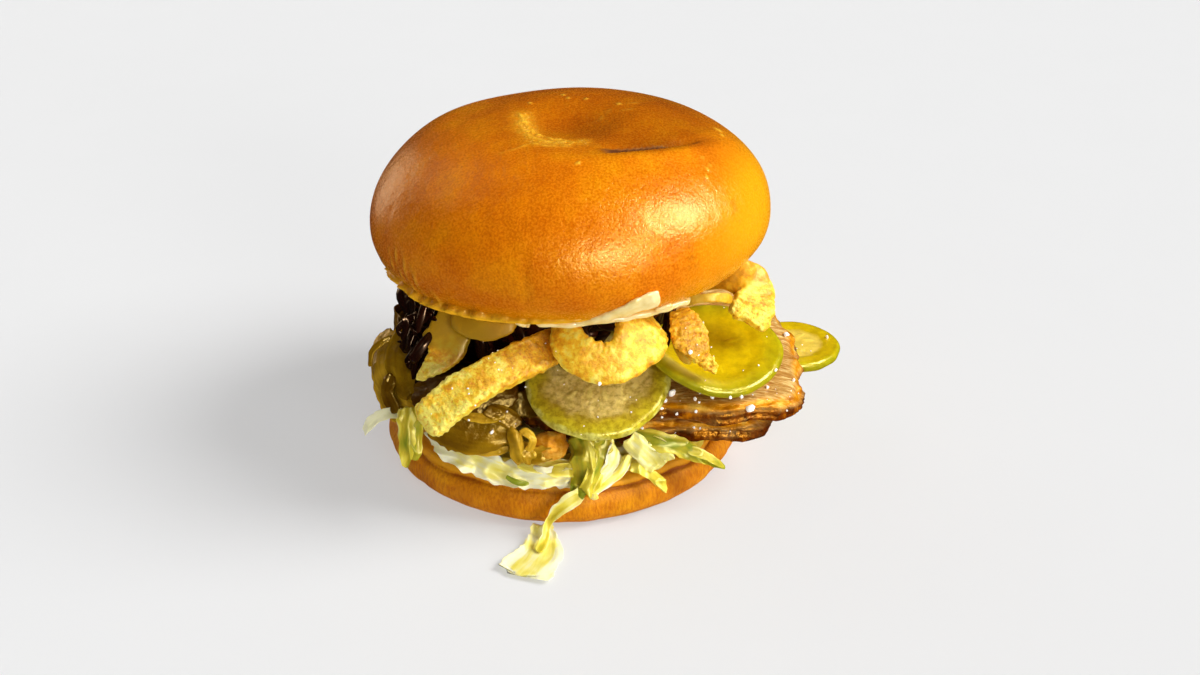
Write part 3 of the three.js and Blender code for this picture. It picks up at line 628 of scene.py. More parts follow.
def top_bun():
    power = 2 / CROWN_FULLNESS
    cut = -math.asin((CROWN_SKIRT / CROWN_BELLY) ** (1 / power))
    profile, rings = [], 175
    for i in range(rings + 1):
        angle = cut + (math.pi / 2 - cut) * i / rings
        rise = CROWN_RISE if angle > 0 else -CROWN_BELLY
        profile.append((CROWN_RADIUS * max(math.cos(angle), 0) ** power if i < rings else 0,
                        rise * abs(math.sin(angle)) ** power))
    rim = profile[0][0]
    under = [(rim * i / 12, -CROWN_SKIRT) for i in range(11)]
    under += [(rim - 2.6 + 0.6 * i, -CROWN_SKIRT) for i in range(3)]
    lip = [(rim - 0.6, -CROWN_SKIRT + 0.1), (rim - 0.15, -CROWN_SKIRT + 0.45)]
    bm = bmesh.new()
    spun(bm, under + lip + [p for p in profile if p[1] > -CROWN_SKIRT + 0.8], steps=340)
    marks = {name: layer(bm, name) for name in ("sunny", "crease", "shade", "pucker", "ridge", "crumb")}
    for vert in bm.verts:
        co = vert.co.copy()
        radius, angle = math.hypot(co.x, co.y), math.atan2(co.y, co.x)
        outward = Vector((co.x, co.y, 0)).normalized() if radius > 1 else Vector()
        if co.z > 8:
            along, behind = crease_axes(co.x, co.y)
            tight = 1 - ramp(abs(along), 7, 16)
            bowl = bell((co.x - BOWL_AT.x) / BOWL_SIZE.x, 1) * bell((co.y - BOWL_AT.y) / BOWL_SIZE.y, 1)
            valley = bell(along - 3, 21) * ramp(behind, -3, 4) * bell(max(behind - 5, 0), 11)
            slit = tight * ramp(behind, -0.3, 0.7) * bell(max(behind - 0.7, 0), 3)
            co.z += (LIP_RISE * tight * bell(behind + 3, 3) - BOWL_DEPTH * bowl - VALLEY_DEPTH * valley
                     - SLIT_DEPTH * slit)
            shoulder = bell(angle_between(angle, SHOULDER_AT), SHOULDER_WIDTH)
            co.z += SHOULDER_RISE * shoulder * bell(radius - 40, 10)
            # The crease mark paints the slit near-black brown, and gloom adds a soft darker band behind it:
            # painted shade in the fold. The shade mark paints shade behind the crease, over the bowl and
            # across the top, heavier on the right.
            fold = (1 - ramp(abs(along), 11, 16.5)) * ramp(behind, -0.2, 0.5)
            deep = 3.5 - 2.6 * ramp(along, 1.5, 11.5)
            gloom = 0.2 * bell(along - 1, 10) * ramp(behind, 1, 4) * bell(max(behind - 4, 0), 5)
            vert[marks["crease"]] = max(fold * (1 - ramp(behind, deep, deep + 0.6)), gloom)
            shade = bell(along - 2, 17) * ramp(behind, -5, 0.5) * bell(max(behind - 3, 0), 6.5)
            top = ramp(behind, -2, 6) * (1 - ramp(math.hypot(co.x - 10, co.y - 2), 24, 42))
            vert[marks["shade"]] = min(max(shade, (0.42 + 0.4 * ramp(co.x, 5, 30)) * top) + 0.34 * bowl, 1)
            # Pale crinkle lines and specks, raised a little and painted pale, partly as highlights; the
            # pleats below add to the same mark.
            ridge = max(bright * bell(off_line(co.x, co.y, line), 0.42)
                        * (0.5 + lumps((co.x, co.y, number), 1.5, 2))
                        for number, (bright, line) in enumerate(PUCKERS))
            blister = max(bell(math.hypot(co.x - x, co.y - y) * (1 + 0.6 * lumps(co, 0.8, x)), size)
                          for x, y, size in BLISTERS)
            vert[marks["pucker"]] = 0.7 * bell(off_line(co.x, co.y, PUCKERED), 2.9)
            vert[marks["ridge"]] = min(0.9 * ridge + 0.8 * blister, 1)
            co.z += 0.3 * ridge + 0.25 * blister
        toasted = max(bell(math.hypot(co.x - x, co.y - y), size) for x, y, size in TOASTED) if co.z > 0 else 0
        vert[marks["crease"]] = max(vert[marks["crease"]], 0.3 * toasted * ramp(lumps(co, 1.6, 4), -0.2, 0.3))
        front_left = bell(angle_between(angle, RAGGED_AT), RAGGED_WIDTH)
        low = ramp(-co.z, 1, CROWN_SKIRT)
        # The lower front left is painted darker: painted shade.
        vert[marks["shade"]] = max(vert[marks["shade"]], 0.5 * front_left * ramp(-co.z, -8, 8))
        for start, height, end in PLEATS:
            share = (height - co.z) / (height + 9)
            if 0 < share < 1:
                off = angle_between(angle, math.radians(start + (end - start) * share)) * radius
                pleat = bell(off, 0.42) * ramp(share, 0, 0.25) * (1 - ramp(share, 0.8, 1))
                vert[marks["ridge"]] = max(vert[marks["ridge"]], 0.42 * pleat)
                co += outward * 0.3 * pleat
        wrinkle = low * (1 - ramp(-co.z, 9.4, CROWN_SKIRT)) * (0.55 + 0.8 * front_left)
        pleats = 0.4 * lumps((angle * 30, co.z * 0.25, 0), 1.5, 5)
        pleats += 0.6 * lumps((angle * 12, co.z * 0.1, 0), 2.5, 9)
        co += outward * (0.45 * lumps(co, 24, 1) + pleats * wrinkle)
        co -= outward * 0.45 * bell(angle_between(angle, CLEFT_AT) * 54, 0.9) * bell(co.z - 1, 7)
        flake = lumps((angle * 46, co.z * 0.7, 0), 1.5, 3) + 0.5 * lumps((angle * 46, co.z, 0), 0.7, 6)
        torn = 0.5 + 1.9 * front_left + 0.7 * lumps((angle * 46, 0, 0), 2.6, 8) * (0.4 + front_left)
        crumb = 1 - ramp(co.z + CROWN_SKIRT, torn - 0.3, torn + 0.3)
        flared = crumb * ramp(radius, 44, 48)
        co += (outward * (1.3 * flake + 0.3) + UP * (0.8 * flake - 0.35)) * flared * (0.25 + front_left)
        co += (outward * 1.9 - UP * 0.3) * flared * front_left
        vert[marks["crumb"]] = crumb
        # Paler towards the rim, where the crust baked less, and lighter on the right side: painted light
        # where the lamp falls.
        vert[marks["sunny"]] = max(0.6 * ramp(-co.z, 4, CROWN_SKIRT),
                                   0.9 * ramp(co.x, 22, 54) * (1 - ramp(co.z, 12, 24)))
        vert.co = co
    bmesh.ops.transform(bm, matrix=CROWN_PLACE, verts=bm.verts[:])
    finish_piece(bm, "top_bun_crust", CRUST, "bun_crust", "top_bun")


# Bottom bun

FOOT_RADIUS, CUT_RADIUS, CUT_HEIGHT = 46, 44, 12.8
HEEL_WALL = [
    # radius and height up the outside
    (FOOT_RADIUS, 0), (49.7, 1.2), (51.3, 3.2), (51.7, 5.2), (51.4, 7.6), (50.4, 9.6), (49.4, 10.7),
    (49.1, 11.3), (48.6, 12.1), (47.2, 12.6), (44.5, CUT_HEIGHT),
]
HEEL_PLEAT_AT = math.radians(-53)


def bottom_bun():
    keys = [Vector((r, z, 0)) for r, z in HEEL_WALL]
    wall = [curve(keys, i / 64) for i in range(65)]
    inner = [FOOT_RADIUS * i / 12 for i in range(12)]
    top = [(r * CUT_RADIUS / FOOT_RADIUS, CUT_HEIGHT) for r in reversed(inner)]
    bm = bmesh.new()
    spun(bm, [(r, 0) for r in inner] + [(p.x, p.y) for p in wall] + top, steps=320)
    marks = {name: layer(bm, name) for name in ("lip", "crease", "crumb")}
    for vert in bm.verts:
        co = vert.co.copy()
        radius, angle = math.hypot(co.x, co.y), math.atan2(co.y, co.x)
        outward = Vector((co.x, co.y, 0)).normalized() if radius > 1 else Vector()
        side = ramp(co.z, 0.4, 2) if radius > 45 else 0
        line = 10.4 + 0.9 * lumps((angle * 20, 0, 0), 6, 2)
        groove = bell(co.z - line, 0.4) * ramp(radius, 47, 48.5)
        groove *= ramp(lumps((angle * 18, 3, 0), 4, 7), -0.6, 0.1)
        pleat = bell(angle_between(angle, HEEL_PLEAT_AT) * 51 - 1.2 * lumps((0, co.z, 0), 3, 2), 3.2)
        pleat *= ramp(co.z, 1.5, 4)
        upright = 0.12 * lumps((angle * 51, co.z * 0.2, 0), 1.3, 3)
        upright += 0.4 * lumps((angle * 51, co.z * 0.15, 0), 5, 6)
        co += outward * (side * (upright + 0.5 * lumps(co, 18, 4)) - 0.6 * groove - 0.5 * pleat * side)
        if co.z > 10.5:
            co.z += 0.35 * lumps((co.x, co.y, 0), 6, 1) + 0.15 * lumps((co.x, co.y, 0), 1.6, 5)
        vert[marks["lip"]] = ramp(co.z, line + 0.1, line + 1.2) * 0.85
        # The groove under the lip and the pleat are painted darker as shade, and the foot is drawn darker
        # too.
        vert[marks["crease"]] = min(0.9 * groove + 0.3 * (1 - ramp(co.z, 0.2, 2.2)) + 0.4 * pleat * side, 1)
        vert[marks["crumb"]] = 1 - ramp(radius, 43, 47.5) if co.z > 11 else 0
        vert.co = co
    finish_piece(bm, "bottom_bun_crust", SIDE_CRUST, "bun_crust", "bottom_bun")


# White sauce

def white_sauce():
    bm = bmesh.new()
    low = -CROWN_SKIRT - 2.0

    def edge(angle):
        def rising(start, end):
            return ramp(angle, math.radians(start), math.radians(end))

        shown = rising(-107, -100) * (1 - rising(-55, -40))
        behind = max(rising(-20, 30), 1 - rising(-175, -168))
        rim = (angle * 46, 0, 0)
        return 42 + 7.3 * shown + 3 * behind + 0.9 * lumps(rim, 5, 2) + 0.5 * lumps(rim, 1.8, 4)

    disc(bm, pill(edge=0.045, flat=12, turn=14), edge, thick=2.4, around=300)
    for vert in bm.verts:
        rim = ramp(math.hypot(vert.co.x, vert.co.y), 40, 47)
        vert.co.z += low + 0.9 + rim * 0.4 * lumps(vert.co, 5, 3)
    sculpt(bm, bm.verts[:], lambda v: 0.25 * lumps(v.co, 4, 1))
    bmesh.ops.transform(bm, matrix=CROWN_PLACE, verts=bm.verts[:])
    smears = [
        # azimuth and height up the crown's side, widths from start to end, thickness, share left at its tips
        ([(-90, -10.8), (-84, -9.7), (-78, -7.9), (-72, -5.6), (-66.8, -4.9)], (1.4, 5.8), 1.9, (0.5, 0.95)),
        ([(-66, -10.4), (-63.5, -9.8), (-61, -9.4)], (1.4, 2.0), 1.1, (0.5, 0.5)),
        ([(-107, -10.2), (-105.6, -11.6), (-104.8, -13.4)], (2.6, 1.1), 1.8, (0.7, 0.35)),
    ]
    for spots, widths, thick, tips in smears:
        path, faces = zip(*(crown_skin(azimuth, z, 0.35) for azimuth, z in spots))

        def width(t):
            return widths[0] + (widths[1] - widths[0]) * ramp(t, 0, 0.85)

        verts = strip(bm, path, faces, width, thick, around=30, steps=80, tips=tips, square=2.3)
        sculpt(bm, verts, lambda v: 0.3 * lumps(v.co, 3.0, 6) + 0.12 * lumps(v.co, 1.1, 2))
    finish_piece(bm, "white_sauce_layer", SAUCE, "white_sauce", "white_sauce")


# Cracklings

# Smooth, less sandy parts are drawn olive, and the left piece is drawn darkest at its top; both partly paint
# the shade under the crown.
CRACKLINGS = [
    # name, path, faces, width, (thickness, squareness), tips, toast and sandiness from start to end
    ("long", [(-36, -54, 35.5), (-29, -52.5, 41.5), (-21, -50.5, 46.3), (-12.5, -47, 49.2), (-5, -42, 50.2),
              (1, -34, 49.5)],
     [(-0.25, -0.75, 0.6), (-0.1, -0.7, 0.7), (0, -0.75, 0.65)], lambda t: 10.4 - t, (4.4, 6), (0.98, 0.8),
     (-0.22, 0.4), (1, 1)),
    ("loop", [(-0.6, -35, 56.5), (0.6, -43.5, 56), (3.6, -48.5, 53), (9.6, -50.5, 51.2),
              (15, -50, 52.2), (18.8, -47, 54.5), (20.6, -42, 57), (20, -35, 57.4)],
     [(-0.6, -0.6, 0.3), (0, -1, 0.3), (0, -0.9, 0.45), (0.2, -1, 0.3), (0.5, -0.8, 0.3)],
     lambda t: 9.8 + 1.0 * math.sin(math.pi * t) + 5.5 * bell(t - 0.82, 0.17), (3.8, 4), (0.7, 0.9),
     (0.04, 0.1), (0.6, 0.9)),
    ("left", [(-29.4, -29, 57.6), (-30.4, -33, 51), (-31.6, -36.5, 45.8), (-38, -40.5, 41.2)],
     [(-0.3, -0.95, 0.2), (-0.2, -0.9, 0.5), (-0.1, -0.5, 0.85)],
     lambda t: 6.6 - 2 * t + 7 * bell(t - 0.46, 0.26), (3, 5), (0.6, 0.35), (0.72, -0.3), (0.0, 0.9)),
    ("tucked_left", [(-28, -33, 56), (-23.5, -37.5, 55.2), (-18.5, -39.5, 55), (-12, -39.5, 56.4)],
     [(-0.2, -0.9, 0.4), (0.1, -0.9, 0.4)], lambda t: 7 - 2 * t, (2.8, 4), (0.7, 0.35), (0.55, 0.5),
     (0.0, 0.1)),
    ("small_right", [(30.4, -34, 57.5), (31.6, -39.4, 55.4), (33.6, -42, 51.6), (36.4, -43.4, 48.2)],
     [(0, -0.9, 0.4), (0.1, -0.85, 0.5)], lambda t: 6 + 3.4 * bell(t - 0.5, 0.3), (3.4, 4), (0.7, 0.6),
     (0.24, 0.22), (1.3, 1.3)),
    ("small_right", [(33.6, -40.6, 51.6), (35.4, -42.8, 48.8), (37.2, -44, 46.8), (39.8, -45.2, 44.4)],
     [(0.2, -0.8, 0.5), (0.1, -0.85, 0.5)], lambda t: 5.4 - 2.4 * t, (3, 4), (0.8, 0.35), (0.2, 0.1),
     (1.6, 1.6)),
    ("small_right", [(29.6, -38, 50.6), (31, -41.6, 48.4), (33, -43.4, 46.4)],
     [(-0.3, -0.8, 0.5), (-0.1, -0.85, 0.5)], lambda t: 4 - t, (2, 4), (0.6, 0.5), (0.0, 0.0), (0.2, 0.2)),
    ("far_right", [(37, -17, 57.5), (44, -19.5, 60.2), (50.3, -22.5, 59), (51.2, -26, 54.3),
                   (48.4, -29.5, 50)],
     [(0, -0.85, 0.5), (0.2, -0.8, 0.6), (0.4, -0.8, 0.4), (0.2, -0.9, 0.35)], lambda t: 8.5 + 5 * t,
     (3.8, 4), (0.7, 0.85), (0.4, -0.1), (0.3, 1)),
    ("tucked_right", [(32.4, -29.8, 57), (34.6, -31.8, 59.2), (39.2, -32.2, 59.6), (43, -30.4, 58.6),
                      (45, -28, 56.6)],
     [(-0.3, -0.8, 0.4), (0, -0.8, 0.5), (0.3, -0.8, 0.4)], lambda t: 3.2 - 0.8 * bell(t - 0.5, 0.2),
     (1.2, 4), (0.6, 0.6), (-0.2, 0.1), (0.2, 0.2)),
    ("back_left", [(-30, 22, 56.5), (-37, 30, 53.5), (-42, 36, 48.5), (-45, 41, 42.5)],
     [(-0.5, 0.6, 0.6), (-0.6, 0.7, 0.4)], lambda t: 11 - 2 * t, (4.6, 4), (0.6, 0.6), (0.1, 0.3), (1, 1)),
    ("back_loop", [(-15, 36, 56.5), (-16, 44, 54.5), (-9, 49.5, 51.5), (0, 51, 50.5), (9, 49, 52),
                   (12, 42, 55.5), (9, 35, 56.5)],
     [(-0.7, 0.5, 0.3), (-0.3, 0.9, 0.3), (0, 0.95, 0.3), (0.4, 0.9, 0.3), (0.9, 0.3, 0.3)], lambda t: 9.5,
     (4.8, 2.6), (0.6, 0.6), (0.1, 0.2), (0.5, 0.7)),
    ("back_right", [(27, 28, 56.5), (33, 35.5, 54), (38, 41, 49), (39, 45, 43.5)],
     [(0.4, 0.7, 0.6), (0.4, 0.85, 0.4)], lambda t: 10.5 - 2 * t, (4.6, 4), (0.6, 0.5), (0.3, 0.2), (1, 1)),
    ("right", [(38, 13, 58), (44, 16, 56.5), (49, 18, 52), (51, 19.5, 46)],
     [(0.4, 0.2, 0.9), (0.9, 0.1, 0.5)], lambda t: 9, (4.6, 2.8), (0.6, 0.5), (0.2, 0.1), (0.8, 0.8)),
]


def cracklings():
    pieces = {}
    for number, (name, path, faces, width, (thick, square), tips, toast, sandy) in enumerate(CRACKLINGS):
        if name not in pieces:
            pieces[name] = bmesh.new()
        bm = pieces[name]
        grain, tone, hollow, sand = (layer(bm, mark_name)
                                     for mark_name in ("grain", "tone", "hollow", "sand"))
        verts = strip(bm, path, faces, width, thick, around=56, steps=120, tips=tips, square=square,
                      ragged=0.02 if name == "long" else 0.05, seed=number)
        length = length_of([Vector(p) for p in path])
        seed = 3.7 * number

        def height(vert):
            share = vert[grain].x / length
            gritty = sandy[0] + (sandy[1] - sandy[0]) * ramp(share, 0.5, 0.8)
            big = lumps(vert.co, 5, seed)
            blister = abs(lumps(vert.co, 2.1, seed + 1))
            grit = lumps(vert.co, 0.95, seed + 2)
            # How deep a point lies in a hollow, which the material paints darker as shade.
            dip = 0.75 - 0.35 * min(gritty, 1) - 0.4 * big - (0.9 * blister + 0.5 * grit) * gritty
            vert[hollow] = min(max(dip, 0), 1)
            vert[tone] = toast[0] + (toast[1] - toast[0]) * share - 0.4
            vert[sand] = min(gritty, 1)
            return 0.35 * big + gritty * (0.45 * blister + 0.3 * grit) - 0.15

        sculpt(bm, verts, height)
    for name, bm in pieces.items():
        finish_piece(bm, "crackling_puff_" + name, CRACKLING, "crackling", "crackling_" + name)


# Pickles

def curled_up(amount, angle):
    turn = math.radians(angle)
    return lambda x, y: amount * max((x * math.cos(turn) + y * math.sin(turn)) / 19, 0) ** 2


PICKLE_THICK, PICKLE_UNEVEN = 3.2, [(2, 0.02, 30), (5, 0.008, 0), (11, 0.004, 0)]
SEED_LENGTH, SEED_WIDTH = 2.0, 0.85
FOLD_AT = math.radians(228)
PICKLES = [
    # name, place, tilt, bend, radius, brightness, how much narrower its rind is
    ("front", (9, -36.5, 38.5), (29, 0, 0), None, 19, 0.0, 1.0),
    ("right", (40, -28, 41.2), (11, 0, 0), curled_up(5.5, 205), 19, 1.0, 0.85),
    ("far_right", (67.5, 4.8, 23.2), (-2, 1, 0), None, 14.5, 1.0, 3.2),
    ("back_left", (-26, 37, 38.5), (-27, -8, 0), curled_up(3, 100), 19, 0.4, 1.0),
    ("back_right", (23, 38, 38), (-24, 8, 0), None, 19, 0.2, 1.0),
]


def pickles():
    chance = random.Random(7)
    for number, (name, at, tilt, bend, radius, bright, narrower) in enumerate(PICKLES):
        bm = bmesh.new()
        grain, tone, seed_mark = layer(bm, "grain"), layer(bm, "tone"), layer(bm, "seed")
        disc(bm, pill(edge=0.09, flat=30, turn=12), lambda angle: radius * (1 + waves(angle, PICKLE_UNEVEN)),
             PICKLE_THICK, around=220, bend=bend)
        seeds = []
        for lobe in range(3):
            for _ in range(3):
                angle = math.radians(120 * lobe + chance.gauss(20 * number, 24))
                reach = radius * chance.uniform(0.25, 0.5)
                seeds.append((reach * math.cos(angle), reach * math.sin(angle), angle + chance.gauss(0, 0.3)))

        def height(vert):
            x, y = vert.co.x, vert.co.y
            share = math.hypot(x, y) / radius
            spot = 0
            for sx, sy, turn in seeds:
                if abs(x - sx) < 2.6 and abs(y - sy) < 2.6:
                    u = (x - sx) * math.cos(turn) + (y - sy) * math.sin(turn)
                    v = (y - sy) * math.cos(turn) - (x - sx) * math.sin(turn)
                    spot = max(spot, 1 - ramp((u / SEED_LENGTH) ** 2 + (v / SEED_WIDTH) ** 2, 0.5, 1))
            vert[tone] = bright
            vert[grain] = vert[grain] * narrower
            # Along the curled rim by the fold the flesh is painted pale yellow: a painted highlight where the
            # curl catches the light. The fold is also raised.
            folded = bell(share - 0.82, 0.07) * bell(angle_between(math.atan2(y, x), FOLD_AT), 0.62) * bright
            vert[seed_mark] = 0.3 * spot * (1 - bright) + 0.55 * folded
            dish = -0.5 * (1 - ramp(share, 0.55, 0.75))
            rough = 0.25 * lumps(vert.co, 2.2, number) + 0.12 * lumps(vert.co, 0.9, number)
            rough *= 1 - ramp(share, 0.6, 0.8)
            rise = dish + 0.6 * folded + 0.15 * spot
            return rise + 0.2 * lumps(vert.co, 5, number) + rough * (1.2 - bright)

        sculpt(bm, bm.verts[:], height)
        bmesh.ops.transform(bm, matrix=placed(at, tilt), verts=bm.verts[:])
        finish_piece(bm, "pickle_slice_" + name, PICKLE, "pickle", "pickle_" + name)


# Roast pork

def rounded_reach(angle, a, b, squareness):
    x, y = abs(math.cos(angle) / a) ** squareness, abs(math.sin(angle) / b) ** squareness
    return (x + y) ** (-1 / squareness)


def sagging(amount, start):
    return lambda x, y: -amount * max(x / start - 1, 0) ** 2


PORK_SLICES = [
    # name, place, tilt, (half width, half depth, squareness), thickness, unevenness of the outline, bend
    ("upper_right", (27.5, -9.5, 31), (0.4, 0.6, 0), (39.5, 34.5, 4.5), 6.4, [(5, 0.015, 20), (9, 0.012, 80)],
     sagging(5, 20)),
    ("lower_right", (24, -8.5, 23.8), (0.4, 0.6, 0), (36, 33.5, 4), 6.4, [(4, 0.02, 120), (7, 0.015, 10)],
     sagging(3, 20)),
    ("lower_left", (-32.5, 0, 22.6), (0, -1, 0), (20.5, 36, 2.5), 5.6, [(4, 0.03, 60), (9, 0.02, 0)], None),
    ("back", (-9, 25, 29.4), (-1.5, 0, 0), (31, 24, 2.6), 5.6, [(5, 0.03, 90), (8, 0.02, 30)], None),
]


def browned(bm, seed, depth=1.0):
    """Gives a cut of pork its ragged, layered side, its colour marks and fibres from left to right."""
    grain, bark, gold = layer(bm, "grain"), layer(bm, "bark"), layer(bm, "gold")

    def height(vert):
        round_edge, inset, level = vert[grain]
        side = 1 - ramp(inset, 0.8, 4)
        strata = lumps((round_edge * 0.1, level * 2.6, 0), 1, seed) * side
        ragged = lumps((round_edge, level * 2.5, 0), 4.5, seed + 3) * side
        notch = abs(lumps((round_edge, level, 0), 2.1, seed + 6)) * side
        lip = bell(level - 0.85, 0.35) * side
        vert[gold] = min(max(lip * 1.1 + 0.5 * lumps(vert.co, 5, seed) * side, 0), 1)
        # The side is drawn darker towards its bottom.
        browning = side * (1.0 - 0.8 * ramp(level, 0.0, 0.75)) + 0.35 * lumps(vert.co, 3.5, seed + 1) * side
        vert[bark] = min(max(browning, 0), 1)
        vert[grain] = (vert.co.y, vert.co.x, level)
        torn = depth * (1.2 * strata + 1.1 * ragged - 0.9 * notch)
        return torn + 0.5 * lumps(vert.co, 7, seed) + 0.2 * lumps(vert.co, 1.6, seed)

    sculpt(bm, bm.verts[:], height)


def roast_pork():
    for number, (name, at, tilt, size, thick, uneven, bend) in enumerate(PORK_SLICES):
        bm = shape_with("grain")
        disc(bm, pill(edge=0.09, flat=22, turn=26, square=2.5),
             lambda angle: rounded_reach(angle, *size) * (1 + waves(angle, uneven)), thick, around=280,
             bend=bend)
        browned(bm, 5 * number + 1)
        bmesh.ops.transform(bm, matrix=placed(at, tilt), verts=bm.verts[:])
        finish_piece(bm, "pork_cut_" + name, PORK, "roast_pork", "pork_slice_" + name)
    bm = bmesh.new()
    grain = layer(bm, "grain")
    path, faces = [(-8.5, -46.5, 24), (-4, -47.8, 24.8), (1, -45.5, 24.6)], [(0, -0.9, 0.4), (0, -0.8, 0.6)]
    verts = strip(bm, path, faces, width=8, thick=6.4, around=48, steps=60, tips=(0.6, 0.6), square=3.4)
    for vert in verts:
        vert[grain] = (vert[grain].x, 2.0, vert[grain].y / 4.5)
    browned(bm, 31, 0.7)
    gold, bark = layer(bm, "gold"), layer(bm, "bark")
    for vert in bm.verts:
        vert[gold], vert[bark] = max(vert[gold], 0.9), min(max(vert[bark], 0.1), 0.3)
    finish_piece(bm, "pork_cut_front", PORK, "roast_pork", "pork_piece_front")


# Onions

def slivers(bm, chance, count, outline, centre, levels, width, thick, tones, crumple, inward=5.0,
            span=(0.25, 0.8), lean=0.55, detail=(12, 24), cup=0.04, ragged=0.0):
    """Soft strips laid round the edge of a heap."""
    tone = layer(bm, "tone")
    for number in range(count):
        start, turn = chance.uniform(0, math.tau), chance.uniform(*span) * chance.choice((-1, 1))
        level, depth = chance.uniform(*levels), chance.uniform(0, inward)
        rise = chance.gauss(0, 0.2 * (levels[1] - levels[0]))
        points = []
        for i in range(5):
            angle = start + turn * (i / 4 - 0.5)
            reach = outline(angle) - depth - 2.2 * abs(i / 2 - 1) ** 2 + chance.gauss(0, 0.6)
            height = min(max(level + rise * (i / 4 - 0.5) + chance.gauss(0, 0.5), levels[0]), levels[1])
            points.append((centre[0] + reach * math.cos(angle), centre[1] + reach * math.sin(angle), height))
        out = Vector((math.cos(start), math.sin(start), chance.gauss(0.4, lean)))
        faces = [out, out + Vector((0, 0, chance.gauss(0, lean)))]
        fold = crumpled(chance.uniform(*crumple), 5, 7.3 * number, chance.uniform(-cup, cup))
        verts = strip(bm, points, faces, chance.uniform(*width), chance.uniform(*thick), *detail,
                      tips=(0.45, 0.45), fold=fold, ragged=ragged, seed=number)
        shade = chance.uniform(*tones)
        for vert in verts:
            vert[tone] = shade


def core(bm, outline, centre, low, top, shade):
    """What fills the middle of a heap, out of sight."""
    grain, tone = layer(bm, "grain"), layer(bm, "tone")
    rings = [(0, 0), (0.5, 0), (0.88, 0), (0.97, 0.18), (1, 0.4), (0.97, 0.7), (0.86, 0.92), (0.66, 1),
             (0.3, 1), (0, 1)]
    rings = [Vector((r, z, 0)) for r, z in rings]
    profile = [(max(p.x, 0), p.y) for p in (curve(rings, i / 30) for i in range(31))]
    for vert in stamp(bm, ("core",), lambda plain: spun(plain, profile, 80)):
        share, angle = math.hypot(vert.co.x, vert.co.y), math.atan2(vert.co.y, vert.co.x)
        bump = lumps((math.cos(angle) * 9, math.sin(angle) * 9, vert.co.z * 4), 1.5, 3)
        reach = share * outline(angle) + share * bump
        vert.co = (centre[0] + reach * math.cos(angle), centre[1] + reach * math.sin(angle),
                   low + vert.co.z * (top - low))
        vert[tone] = shade
        vert[grain] = (vert.co.x, vert.co.z, 0.3)


DARK_CURLS = [
    # path, width, thickness
    ([(-35, -29, 57), (-37.5, -26.5, 58.4), (-40.4, -24, 58.8), (-41.6, -22, 57)], 2.2, 1.2),
    ([(-34, -28, 55), (-38, -25.5, 55.2), (-40.6, -24, 52), (-42.4, -23.4, 48)], 2.6, 1.2),
    ([(-34, -29, 55), (-38.4, -28, 51), (-41, -26.5, 46), (-43.4, -25.5, 41.5), (-43.6, -26, 38.6)],
     3.0, 1.4),
    ([(-33, -31, 54), (-36.5, -30.6, 48), (-39.2, -30, 42), (-40.6, -31.5, 35.8)], 3.4, 1.5),
    ([(-31, -32, 50), (-34.6, -32.5, 45), (-37.4, -32.5, 40), (-39.4, -33.4, 34)], 3.0, 1.4),
    ([(-24, -31, 55), (-22, -34, 50), (-21, -35, 44)], 4.2, 1.6),
    ([(-14, -35, 55.5), (-11, -38, 52), (-10.5, -38.5, 46)], 4, 1.6),
    ([(4, -37, 56), (6, -40, 52), (7, -40, 47)], 4, 1.6),
    ([(28, -33, 57), (27, -37, 53), (26.5, -38, 48)], 3.6, 1.6),
]
CLUMP_AT, CLUMP_SPREAD = Vector((-37, -26.5, 48)), Vector((2.0, 2.6, 5.2))
DARK_STRIPS, DARK_STRANDS, CLUMP_STRANDS, COOKED_STRIPS = 80, 90, 54, 64
DARK_CENTRE, COOKED_CENTRE = (0, 3), (-20, -6)
# How far out of the outline and how high the first points of a hanging strand are
STRAND_TOP = [(-7, 56.5), (-1.5, 55), (0.8, 51.5)]


